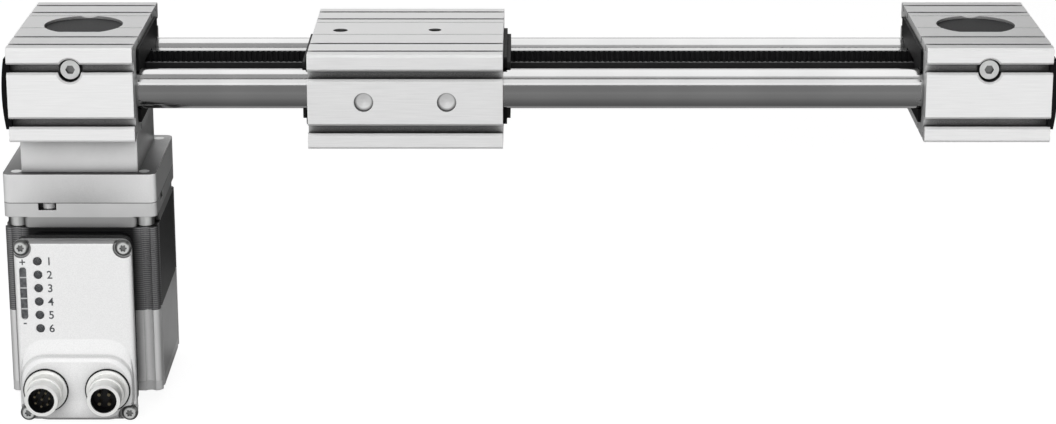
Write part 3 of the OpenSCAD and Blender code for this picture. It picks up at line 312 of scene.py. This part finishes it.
def ledge_and_joint(tree, place):
    """The joint's share times the ledge's: least at the front of the upper face, 1 at its back."""
    is_top = math(tree, "GREATER_THAN", along(tree, place, "Z"), adapter_high.z - 0.1 * MM)
    front_to_back = (LEDGE_FRONT_MM * MM, LEDGE_BACK_MM * MM)
    deep = varied(tree, along(tree, place, "Y"), LEDGE_LOSS, 0.0, *front_to_back)
    ledge = math(tree, "SUBTRACT", 1.0, math(tree, "MULTIPLY", is_top, deep))
    return math(tree, "MULTIPLY", ledge, joint_line(tree, place, JOINT_MM))


def joint_and_neck(tree, place):
    """The joint's share times that of the neck under the flange, which lies in the flange's shade."""
    below, edge = (NECK_MM - 0.2) * MM, NECK_MM * MM
    neck = varied(tree, along(tree, place, "Z"), NECK_SHARE, 1.0, below, edge)
    return math(tree, "MULTIPLY", neck, joint_line(tree, place, JOINT_MM))


def painted_side_shade(tree, place):
    """A share of painted shade: 1 on the front and back of the motor's bell, and less on its sides,
    which face away from the lamps."""
    turned = tree.nodes.new("ShaderNodeTexCoord").outputs["Normal"]
    sideways = math(tree, "ABSOLUTE", along(tree, turned, "X"))
    return varied(tree, sideways, 1.0, SIDE_SHADE_SHARE, 0.4, 0.9)


def on_pegs(tree, place):
    """1 on the four round pegs in the flange's slots, which are kept clear of painted shade: with
    a = |x - middle| and b = |y|, the distance of (min(a, b), max(a, b)) from the peg's place is less
    than the peg's radius."""
    a = math(tree, "ABSOLUTE", math(tree, "SUBTRACT", along(tree, place, "X"), MOTOR_X))
    b = math(tree, "ABSOLUTE", along(tree, place, "Y"))
    aside = math(tree, "SUBTRACT", math(tree, "MINIMUM", a, b), PEG_ASIDE_MM * MM)
    out = math(tree, "SUBTRACT", math(tree, "MAXIMUM", a, b), PEG_OUT_MM * MM)
    both = add(tree, "CombineXYZ", {"X": aside, "Y": out}).outputs[0]
    away = add(tree, "VectorMath", {0: both}, operation="LENGTH").outputs["Value"]
    near = math(tree, "LESS_THAN", away, PEG_RADIUS_MM * MM)
    upper = math(tree, "GREATER_THAN", along(tree, place, "Z"), (JOINT_MM - SLOT_DEEP_MM) * MM)
    return math(tree, "MULTIPLY", near, upper)


# %% Cast aluminium
def die_cast(name, dark, light, reach_mm, extra=None, bright=None):
    """A tumbled casting: slow clouds of grey, a faint orange-peel, dimmed within reach_mm of walls and
    by an extra share."""
    material, tree, shader, place = new_material(name, Metallic=0.4)
    normal, skin = surface_normal(tree, place, edge_mm=0.5, grain_mm=0.9, depth_mm=0.004)
    tone = two_tones(tree, cloud(tree, place, 16), dark, light)
    kept = bright(tree, place) if bright else 0.0
    tone = shaded(tree, tone, reach_mm, 0.04, kept)
    if extra:
        tone = dimmed(tree, tone, extra(tree, place))
    connect(tree, shader, Base_Color=tone, Roughness=varied(tree, skin, 0.37, 0.40), Normal=normal)
    print("made", material.name)
    return material


cast = die_cast("die_cast_aluminium_tumbled", "#D6D6D6", "#DEDEDE", 5)
# The ledge, flange and bell are copies of one casting, with tones painted lighter or darker for the
# light each gets.
cast_ledge = die_cast("die_cast_aluminium_ledge", "#ECECEC", "#F2F2F2", 28, ledge_and_joint)
cast_flange = die_cast("die_cast_aluminium_flange", "#D2D2D2", "#DADADA", 5, joint_and_neck, on_pegs)
cast_bell = die_cast("die_cast_aluminium_bell", "#F0F0F0", "#F6F6F6", 5, painted_side_shade)

# %% [markdown]
# ## Painted casting
# The controller's cover is also a die casting, but sprayed with a pale silver lacquer: the metal
# flakes lie under a clear coat, so it looks nearly white from the front and its edges stay soft.
# The cover's upper edge lies in the shade of the motor's flange.

# %% Silver lacquer
silver, tree, shader, place = new_material(
    "silver_lacquer_on_casting", Metallic=0.2, Coat_Weight=0.25, Coat_Roughness=0.25
)
normal, flakes = surface_normal(tree, place, edge_mm=0.6, grain_mm=0.35, depth_mm=0.002)
RIM_MM, RIM_SHARE = 1.2, 0.25
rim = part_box("controller_cover")[1].z - RIM_MM * MM
edge = varied(tree, along(tree, place, "Z"), 1.0, RIM_SHARE, rim - 0.1 * MM, rim + 0.1 * MM)
tone = shaded(tree, two_tones(tree, varied(tree, flakes, 0, 1), "#E6E6E6", "#F0F0F0"), 8, 0.3)
connect(tree, shader, Base_Color=dimmed(tree, tone, edge), Normal=normal)
connect(tree, shader, Roughness=varied(tree, flakes, 0.42, 0.45))
print("made", silver.name)

# %% [markdown]
# ## Ground and hardened steel
# The guide rods are ground between centres and polished: the wheel's lines run round the rod, so
# the noise is squeezed along X, the rod's length. The surface is nearly a mirror, and it draws the
# long soft bands of the studio along the rod.

# %% Ground steel
ground, tree, shader, place = new_material("hardened_steel_ground", Metallic=1.0)
normal, rings = surface_normal(
    tree, place, edge_mm=0.3, grain_mm=0.5, depth_mm=0.002, stretch=(1, 0.05, 0.05)
)
tone = two_tones(tree, cloud(tree, place, 30), "#B9B9B9", "#C1C1C1")
connect(tree, shader, Base_Color=tone, Roughness=varied(tree, rings, 0.10, 0.14), Normal=normal)
print("made", ground.name)

# %% [markdown]
# ## Zinc plated and turned steel
# Screws, bearings and shafts are small turned steel parts, the screws with a thin bright zinc
# layer. Slow stains keep them from looking like chrome. A sloped or rounded rim mirrors the dark
# side of the room, and that reflection is painted into the colour: the tone falls where a surface
# faces neither the front nor the sky, following the larger of |normal Y| and 0.85 |normal Z|. The
# recess in a head that faces the front gets painted shade, told by its depth below the head's face.


# %% Turned steel
RIM_REFLECTION_SHARE, RECESS_SHADE_SHARE, RECESS_MM = 0.12, 0.3, 0.35


def turned_steel(name, face=None):
    """Zinc plated steel with a painted reflection on its rims. With face, all that lies RECESS_MM or
    more behind |y| = face gets painted shade.
    """
    material, tree, shader, place = new_material(name, Metallic=0.6)
    turned = tree.nodes.new("ShaderNodeTexCoord").outputs["Normal"]
    square_y = math(tree, "ABSOLUTE", along(tree, turned, "Y"))
    square_z = math(tree, "MULTIPLY", math(tree, "ABSOLUTE", along(tree, turned, "Z")), 0.85)
    square = math(tree, "MAXIMUM", square_y, square_z)
    flat = varied(tree, square, RIM_REFLECTION_SHARE, 1.0, 0.6, 0.93)
    tone = dimmed(tree, two_tones(tree, cloud(tree, place, 3), "#E4E5E4", "#EEEFEE"), flat)
    if face:
        depth = math(tree, "ABSOLUTE", along(tree, place, "Y"))
        recess = varied(tree, depth, RECESS_SHADE_SHARE, 1.0, face - RECESS_MM * MM, face - 0.2 * MM)
        tone = dimmed(tree, tone, recess)
    connect(tree, shader, Base_Color=tone, Roughness=cloud(tree, place, 6, 0.29, 0.32))
    print("made", material.name)
    return material


steel = turned_steel("steel_zinc_plated")
clamp_steel = turned_steel("steel_zinc_plated_clamp_screws", -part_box("cap_clamp_screws")[0].y)
cover_steel = turned_steel("steel_zinc_plated_cover_screws", -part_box("cover_screws")[0].y)

# %% [markdown]
# ## Nickel plate and contacts
# The two sockets are turned from brass and plated with matt nickel, which is warmer and softer
# than steel. Each is lined with black plastic that holds gold plated contacts. A socket's lining
# is told from its wall by the distance to the socket's axis. Both sockets lie at the same distance
# from the cover's middle, so one folded distance serves both.

# %% Where the sockets lie
logic_low, logic_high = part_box("logic_connector")
power_low, power_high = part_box("power_connector")
SOCKET_MIDDLE = (logic_low.x + power_high.x) / 2
SOCKET_HALF = (power_low.x + power_high.x) / 2 - SOCKET_MIDDLE
SOCKET_HEIGHT = (logic_low.z + logic_high.z) / 2
LINING_MM = 4.75
LINING_BLACK = "#0C0C0D"
print("sockets at", round(SOCKET_MIDDLE / MM, 2), "+-", round(SOCKET_HALF / MM, 2), "mm")

# %% Nickel plate
nickel, tree, shader, place = new_material("brass_nickel_plated_matt")
radius = from_axis_pair(tree, place, SOCKET_MIDDLE, SOCKET_HALF, SOCKET_HEIGHT)
outside = math(tree, "GREATER_THAN", radius, LINING_MM * MM)
plate = two_tones(tree, cloud(tree, place, 5), "#EEEEEC", "#F6F6F4")
tone = mixed(tree, outside, linear(LINING_BLACK), plate)
connect(tree, shader, Base_Color=tone, Metallic=varied(tree, outside, 0, 0.35, 0, 1))
connect(tree, shader, Roughness=cloud(tree, place, 1.5, 0.28, 0.36))
print("made", nickel.name)

# %% [markdown]
# ## Moulded plastics
# The thin covers and the controller's housing are moulded in black glass-filled nylon from a
# spark-eroded tool, which prints a fine even grain. The round plugs are the same in a dark grey.
# Both are built by one function, since only tone and grain differ.


# %% Moulded nylon
def moulded(name, dark, light, grain_mm, rough=(0.5, 0.65), gloss=0.25):
    """A moulded plastic: two close tones, an even grain, and roughness that follows the grain."""
    material, tree, shader, place = new_material(name, IOR=1.5, Specular_IOR_Level=gloss)
    normal, spark = surface_normal(tree, place, edge_mm=0.25, grain_mm=grain_mm, depth_mm=0.015)
    tone = two_tones(tree, varied(tree, spark, 0, 1), dark, light)
    connect(tree, shader, Base_Color=tone, Roughness=varied(tree, spark, *rough), Normal=normal)
    print("made", material.name)
    return material


black_nylon = moulded("glass_filled_nylon_black", "#070708", "#0D0D0E", 0.5, (0.5, 0.65), 0.15)
grey_nylon = moulded("glass_filled_nylon_grey", "#262627", "#2C2C2D", 0.5, (0.5, 0.65), 0.1)
button_rubber = moulded("silicone_buttons_dark", "#3A3B3D", "#4A4B4D", 0.4, (0.2, 0.35), 0.6)
wiper_rubber = moulded("nitrile_rubber_black", "#121212", "#1A1A1A", 0.6, (0.6, 0.75))
spider_plastic = moulded("polyurethane_red", "#9C2F26", "#AD3A2F", 0.6, (0.35, 0.5))

# %% [markdown]
# ## The toothed belt
# A neoprene belt with glass cords. Its back and teeth are black. Faces whose normal points up get a
# lighter grey as a painted highlight, which draws a thin light line along the belt's upper edge;
# the tone follows the normal's Z.

# %% Belt rubber
belt_rubber, tree, shader, place = new_material("neoprene_belt_with_glass_cords", IOR=1.5)
normal, fibres = surface_normal(
    tree, place, edge_mm=0.2, grain_mm=0.5, depth_mm=0.03, stretch=(1, 1, 0.3)
)
facing = add(tree, "NewGeometry").outputs["Normal"]
top_edge_highlight = varied(tree, along(tree, facing, "Z"), 0, 1, 0.7, 0.95)
black = two_tones(tree, varied(tree, fibres, 0, 1), "#070708", "#111112")
tone = mixed(tree, top_edge_highlight, black, linear("#4E4F50"))
connect(tree, shader, Base_Color=tone, Roughness=varied(tree, fibres, 0.45, 0.62), Normal=normal)
print("made", belt_rubber.name)

# %% [markdown]
# ## The motor's lamination stack
# A stepper motor's middle is a pile of punched steel sheets, each about half a millimetre thick,
# dipped in black lacquer. The sheets' edges are drawn 0.8 mm apart, so that they can still be
# seen, as a wave along Z that both dents and polishes the lacquer. The front and back of the four
# columns that take the screws get a painted highlight: a lighter grey tone and less roughness.

# %% Lacquered laminations
SHEET_MM = 0.8
COLUMN_FROM_MM, COLUMN_TO_MM = 19, 22
laminated, tree, shader, place = new_material("black_lacquer_on_laminations", IOR=1.5)
wave = add(
    tree,
    "TexWave",
    {"Vector": place, "Scale": np.pi / 10 / (SHEET_MM * MM), "Distortion": 0.4, "Detail": 1.0},
    bands_direction="Z",
)
soft = add(tree, "Bevel", {"Radius": 0.4 * MM}, samples=4)
bump = add(
    tree,
    "Bump",
    {
        "Strength": 1.0,
        "Distance": 0.06 * MM,
        "Height": wave.outputs["Fac"],
        "Normal": soft.outputs[0],
    },
)
# Painted highlight on the columns' front and back: a lighter tone and a lower roughness.
facing = tree.nodes.new("ShaderNodeTexCoord").outputs["Normal"]
front = varied(tree, math(tree, "ABSOLUTE", along(tree, facing, "Y")), 0, 1, 0.2, 0.9)
aside = math(tree, "ABSOLUTE", math(tree, "SUBTRACT", along(tree, place, "X"), MOTOR_X))
column = varied(tree, aside, 0, 1, COLUMN_FROM_MM * MM, COLUMN_TO_MM * MM)
front = math(tree, "MULTIPLY", front, column)
thick = two_tones(tree, wave.outputs["Fac"], "#050506", "#0E0E0F")
column_highlight_tone = two_tones(tree, wave.outputs["Fac"], "#484849", "#7C7C7D")
tone = mixed(tree, front, thick, column_highlight_tone)
rough = math(tree, "SUBTRACT", 0.5, math(tree, "MULTIPLY", front, 0.24))
connect(tree, shader, Base_Color=tone, Roughness=rough, Normal=bump.outputs[0])
print("made", laminated.name)

# %% [markdown]
# ## Small finishes
# The sliding bushings' bronze and the printed ink.


# %% Bronze and ink
def small_metal(name, dark, light, rough, grain_mm=0.4):
    """A small metal part: two tones in slow clouds, a fine grain, and varied roughness."""
    material, tree, shader, place = new_material(name, Metallic=1.0)
    normal, lines = surface_normal(tree, place, edge_mm=0.1, grain_mm=grain_mm, depth_mm=0.004)
    tone = two_tones(tree, cloud(tree, place, 4), dark, light)
    connect(tree, shader, Base_Color=tone, Roughness=varied(tree, lines, *rough), Normal=normal)
    print("made", material.name)
    return material


bronze = small_metal("sintered_bronze", "#8C6A45", "#A17E58", (0.4, 0.55), 0.8)
ink = moulded("printed_ink_dark_grey", "#4A4C4E", "#55575A", 0.4, (0.5, 0.65))

# %% Gold contacts in a black carrier
# The contacts stand in front of the carrier's face, so the depth along Y parts gold from black.
CARRIER_MM = 2.05
carrier_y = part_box("logic_pins")[1].y - CARRIER_MM * MM
gold, tree, shader, place = new_material("contacts_gold_plated_in_carrier", Roughness=0.3)
normal, lines = surface_normal(tree, place, edge_mm=0.1, grain_mm=0.4, depth_mm=0.003)
front = math(tree, "LESS_THAN", along(tree, place, "Y"), carrier_y)
plated = two_tones(tree, cloud(tree, place, 4), "#8C8470", "#A59B80")
tone = mixed(tree, front, linear(LINING_BLACK), plated)
connect(tree, shader, Base_Color=tone, Metallic=front, Normal=normal)
print("made", gold.name)

# %% [markdown]
# ## The level window
# A smoked light guide with five segments, each lit from behind in use, parted by pale webs. The
# webs lie at even steps along the window's height, so a repeating ramp along Z paints them.

# %% Smoked window with webs
SEGMENTS = 5
WEB_MM = 0.45
low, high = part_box("level_window")
step = (high.z - low.z) / SEGMENTS
smoked, tree, shader, place = new_material("polycarbonate_smoked", IOR=1.58, Roughness=0.2)
above = math(tree, "SUBTRACT", along(tree, place, "Z"), low.z)
inside = math(tree, "FRACT", math(tree, "DIVIDE", above, step))
away = math(tree, "ABSOLUTE", math(tree, "SUBTRACT", inside, 0.5))
half_web = WEB_MM * MM / step / 2
web = varied(tree, away, 0, 1, 0.5 - half_web * 1.3, 0.5 - half_web * 0.7)
glow = two_tones(tree, cloud(tree, place, 1.2), "#454648", "#5E5F61")
connect(tree, shader, Base_Color=mixed(tree, web, glow, linear("#B9BABB")))
print("window segments", SEGMENTS, "each", round(step / MM, 2), "mm")

# %% [markdown]
# ## Finishes on the CAD nodes
# A CAD node keeps its mesh and only gets its material. The table goes from finish to nodes, so one
# look shows what is made of what, and the cell checks that no node was forgotten.

# %% Give each node its finish
buttons = [f"button_{i}" for i in range(1, 7)]
FINISHES = {
    anodised: "drive_cap idler_cap",
    anodised_satin: "carriage_body",
    milled: "coupling_housing",
    cast_ledge: "adapter_plate",
    cast_flange: "motor_flange",
    cast_bell: "motor_end_bell",
    cast: "motor_end_cap drive_pulley idler_pulley"
    " drive_bearing_holder idler_bearing_holder belt_clamp_block belt_clamp_jaw"
    " coupling_drive_hub coupling_motor_hub",
    silver: "controller_cover",
    ground: "front_guide_rod rear_guide_rod",
    steel: "drive_bearings idler_bearings motor_bearings drive_shaft idler_shaft motor_rotor"
    " belt_clamp_screws coupling_housing_screws adapter_screws motor_screws",
    clamp_steel: "cap_clamp_screws",
    cover_steel: "cover_screws",
    nickel: "logic_connector power_connector",
    black_nylon: "drive_outer_cover idler_outer_cover drive_inner_cover idler_inner_cover"
    " carriage_drive_end_plate carriage_idler_end_plate controller_housing",
    grey_nylon: "drive_top_plug idler_top_plug idler_bottom_plug",
    belt_rubber: "toothed_belt",
    laminated: "motor_stack",
    bronze: "rod_bushings",
    wiper_rubber: "carriage_drive_wiper carriage_idler_wiper connector_seals",
    spider_plastic: "coupling_spider",
    gold: "logic_pins power_pins",
    smoked: "level_window",
    button_rubber: " ".join(buttons),
}
dressed = set()
for material, names in FINISHES.items():
    for name in names.split():
        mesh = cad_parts[name].data
        mesh.materials.clear()
        mesh.materials.append(material)
        dressed.add(name)
print("dressed", len(dressed), "nodes; left out:", sorted(set(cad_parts) - dressed))

# %% [markdown]
# ## Printed numbers
# A number is printed beside each button, with + and - at the ends of the level window. Print could
# be a texture, but a thin raised layer of real shape stays sharp at any distance. Text is turned
# into a mesh first, and only then put in its place.


# %% Text as a mesh
PRINT_MM = 0.04
THICKEN_MM = 0.045


def printed(text, size_mm, centre):
    """Vertices and faces of a text laid flat on a wall that faces -Y, centred on a point in metres."""
    curve = bpy.data.curves.new("text", "FONT")
    curve.body = text
    curve.size = size_mm * MM
    curve.align_x = "CENTER"
    curve.align_y = "CENTER"
    curve.extrude = PRINT_MM * MM / 2
    curve.offset = THICKEN_MM * MM
    holder = bpy.data.objects.new("text", curve)
    bpy.context.scene.collection.objects.link(holder)
    bpy.context.view_layer.update()
    mesh = bpy.data.meshes.new_from_object(holder)
    flat = np.zeros(len(mesh.vertices) * 3)
    mesh.vertices.foreach_get("co", flat)
    flat = flat.reshape(-1, 3)
    faces = [tuple(p.vertices) for p in mesh.polygons]
    bpy.data.objects.remove(holder)
    bpy.data.meshes.remove(mesh)
    middle = (flat.min(0) + flat.max(0)) / 2
    x, y, z = (flat - middle).T
    return np.stack([x, -z, y], 1) + np.array(centre), faces


# %% A piece on its body
def piece(name, points, faces, material, body, slot):
    """A named mesh at the origin that rides a body and takes the given finish; slot is not used."""
    mesh = bpy.data.meshes.new(name)
    mesh.from_pydata(np.asarray(points).tolist(), [], faces)
    mesh.materials.append(material)
    mesh.validate()
    thing = bpy.data.objects.new(name, mesh)
    bpy.context.scene.collection.objects.link(thing)
    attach(thing, body)
    print(name, len(mesh.vertices), "points")
    return thing


def merged(parts):
    """Several (points, faces) pairs as one, with the face numbers shifted."""
    points, faces, shift = [], [], 0
    for some_points, some_faces in parts:
        points.append(some_points)
        faces += [tuple(i + shift for i in face) for face in some_faces]
        shift += len(some_points)
    return np.concatenate(points), faces


# %% Numbers and signs
NUMBER_MM = 4.2
COVER_FACE_MM = 51
BESIDE_MM, ABOVE_MM, BELOW_MM = 2.1, 1.9, 1.6
panel_y = -COVER_FACE_MM * MM - PRINT_MM * MM / 2
marks = []
for i, name in enumerate(buttons):
    low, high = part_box(name)
    centre = (high.x + BESIDE_MM * MM, panel_y, (low.z + high.z) / 2)
    marks.append(printed(str(i + 1), NUMBER_MM, centre))
low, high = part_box("level_window")
window_x = (low.x + high.x) / 2
marks.append(printed("+", NUMBER_MM, (window_x, panel_y, high.z + ABOVE_MM * MM)))
marks.append(printed("-", NUMBER_MM, (window_x, panel_y, low.z - BELOW_MM * MM)))
piece("panel_numbers", *merged(marks), ink, "root", "indicator")

# %% [markdown]
# ## Floor
# The part stands on a wide pale floor that keeps its shadow. To the camera the floor adds the white
# of the background to its own tone, so that only the shadow shows.


# %% What the eye and mirrors see
def seen_directly(tree):
    """1 for camera, glossy and transmission rays, 0 for the light that falls on matt surfaces."""
    light_path = add(tree, "LightPath").outputs
    seen = math(tree, "MAXIMUM", light_path["Is Camera Ray"], light_path["Is Glossy Ray"])
    return math(tree, "MAXIMUM", seen, light_path["Is Transmission Ray"])


# %% Floor
FLOOR_HALF = 6.0
FLOOR_GAP_MM = 0.2
FLOOR_LIFT = 0.9
floor_z = cad_box[0][2] - FLOOR_GAP_MM * MM
floor_mesh = bpy.data.meshes.new("floor")
corners = FLOOR_HALF * np.array([(-1, -1), (1, -1), (1, 1), (-1, 1)])
floor_mesh.from_pydata([(x, y, floor_z) for x, y in corners.tolist()], [], [(0, 1, 2, 3)])
floor = bpy.data.objects.new("floor", floor_mesh)
bpy.context.scene.collection.objects.link(floor)
paper, tree, shader, place = new_material("paper_backdrop_matt", Roughness=0.9)
tone = two_tones(tree, cloud(tree, place, 400), "#868686", "#8A8A8A")
shader.inputs["Emission Color"].default_value = (1, 1, 1, 1)
lift = math(tree, "MULTIPLY", seen_directly(tree), FLOOR_LIFT)
connect(tree, shader, Base_Color=tone, Emission_Strength=lift)
floor_mesh.materials.append(paper)
print("floor at", round(floor_z / MM, 1), "mm")

# %% [markdown]
# ## Lamps
# Matt surfaces are lit by three large soft lamps: one above and behind, a wide one on the left of
# the camera and a narrow one on its right. Bright metal shows lamps as bands, so it gets lamps of
# its own: a band in the ceiling, a band over the camera for the light stripe along the rods, and a
# weak strip on the right. A lamp's strength is written as the radiance of its face.


# %% Soft lamps
def soft_lamp(name, place, aim, size, radiance, on_matt=True, in_metal=True):
    """A square lamp: its power is radiance times its area times pi, so its face has that radiance."""
    lamp = bpy.data.objects.new(name, bpy.data.lights.new(name, "AREA"))
    lamp.data.shape = "RECTANGLE"
    lamp.data.size, lamp.data.size_y = size
    lamp.data.energy = radiance * size[0] * size[1] * np.pi
    bpy.context.scene.collection.objects.link(lamp)
    direction = np.array(aim) - np.array(place)
    lamp.location = place
    pitch = np.arctan2(np.hypot(*direction[:2]), -direction[2])
    turn = np.arctan2(-direction[0], direction[1]) if np.hypot(*direction[:2]) > 1e-9 else 0.0
    lamp.rotation_euler = (pitch, 0, turn)
    lamp.visible_diffuse = on_matt
    lamp.visible_glossy = in_metal
    lamp.visible_camera = False
    print(name, "power", round(lamp.data.energy, 2), "W")


soft_lamp("lamp_above", (0, 0.5, 0.9), (0, 0.5, 0), (1.8, 1.4), 0.7, in_metal=False)
soft_lamp("lamp_key", (-0.7, -2.2, 0.4), (0, 0, -0.05), (1.1, 1.0), 9.0, in_metal=False)
soft_lamp("lamp_fill", (0.16, -2.2, 0.35), (0, 0, -0.05), (0.6, 1.0), 12.5, in_metal=False)
soft_lamp("band_above", (0, 0.563, 0.8), (0, 0.563, 0), (1.8, 1.646), 0.65, on_matt=False)
soft_lamp("band_front", (0, -0.88, 1.04), (0, 0, -0.05), (2.4, 0.856), 1.35, on_matt=False)
soft_lamp("strip_right", (0.4, -0.22, 0.0), (-0.15, 0, -0.08), (0.35, 0.5), 1.8, on_matt=False)

# %% [markdown]
# ## Boards for the metal to mirror
# Metal in a white room looks flat: it needs something darker to mirror. Grey boards stand round the
# part, and only mirrored light sees them. The board on the floor changes its tone from front to
# back, which draws the soft dark side along the lower half of each rod.


# %% Grey boards
def grey_board(name, corners, tone, dims_light=False):
    """A flat board that only mirrored light sees; it gives off its tone as emitted light. Its tone is
    one hex colour, or a list of places along Y with their colours. With dims_light it also keeps the
    sky's light off."""
    mesh = bpy.data.meshes.new(name)
    mesh.from_pydata(corners, [], [(0, 1, 2, 3)])
    board = bpy.data.objects.new(name, mesh)
    bpy.context.scene.collection.objects.link(board)
    emitter, tree, shader, place = new_material(name + "_cloth", Roughness=1.0)
    shader.inputs["Base Color"].default_value = (0, 0, 0, 1)
    shader.inputs["Specular IOR Level"].default_value = 0.0
    if isinstance(tone, str):
        tone = [(-2.0, tone), (2.0, tone)]
    first, last = tone[0][0], tone[-1][0]
    ramp = add(tree, "ValToRGB", {0: varied(tree, along(tree, place, "Y"), 0, 1, first, last)})
    for i, (y, hex_colour) in enumerate(tone):
        stops = ramp.color_ramp.elements
        stop = stops[i] if i < 2 else stops.new(1.0)
        stop.position = (y - first) / (last - first)
        stop.color = linear(hex_colour)
    emitted_tone = dimmed(tree, ramp.outputs["Color"], cloud(tree, place, 300, 0.98, 1.0))
    connect(tree, shader, Emission_Color=emitted_tone)
    shader.inputs["Emission Strength"].default_value = 1.0
    mesh.materials.append(emitter)
    for kind in ("camera", "transmission", "volume_scatter"):
        setattr(board, "visible_" + kind, False)
    board.visible_diffuse = board.visible_shadow = dims_light


# %% The board on the floor
BOARD_LIFT_MM = 0.5
HALF_WIDTH, FRONT_Y, BACK_Y = 2.5, -1.6, 2.5
z = floor_z + BOARD_LIFT_MM * MM


def strip(first, second):
    """The four corners of a board of full width between two edges, each given as (Y, Z)."""
    corners = [(-1, first), (1, first), (1, second), (-1, second)]
    return [(side * HALF_WIDTH, *edge) for side, edge in corners]


FLOOR_TONES = [
    (FRONT_Y, "#9A9A9A"),
    (-0.46, "#A1A1A1"),
    (-0.155, "#969696"),
    (-0.087, "#848484"),
    (-0.032, "#747474"),
    (0.019, "#6E6E6E"),
    (0.021, "#B0B0B0"),
    (0.119, "#B0B0B0"),
    (0.121, "#383838"),
    (BACK_Y, "#383838"),
]
grey_board("board_floor", strip((FRONT_Y, z), (BACK_Y, z)), FLOOR_TONES)

# %% The boards round the part
TOP_FRONT, TOP_BACK = (-1.5, 1.4), (-0.1, 2.2)
grey_board("board_front", strip((FRONT_Y, z), TOP_FRONT), "#989898")
grey_board("board_above", strip(TOP_FRONT, TOP_BACK), "#505050")
flag = [(-0.6, -0.25, 0.77), (-0.1, -0.25, 0.77), (-0.1, 0.19, 0.77), (-0.6, 0.19, 0.77)]
grey_board("board_flag", flag, "#C4C4C4")
beside = [(0.5, -1.0, z), (0.5, 1.6, z), (0.5, 1.6, 1.2), (0.5, -1.0, 1.2)]
grey_board("board_right", beside, "#303030", True)

# %% [markdown]
# ## Sky
# The sky is white where the camera or a mirrored ray sees it, and dim as a light, so that the white
# background doesn't wash out the pale metal.

# %% Sky
SKY_LIGHT = 0.12
world = bpy.data.worlds.new("studio")
bpy.context.scene.world = world
world.use_nodes = True
tree = world.node_tree
sky = tree.nodes["Background"]
sky.inputs["Color"].default_value = (1, 1, 1, 1)
strength = varied(tree, seen_directly(tree), SKY_LIGHT, 1.0, 0, 1)
tree.links.new(strength, sky.inputs["Strength"])
bpy.context.scene.view_settings.view_transform = "Standard"
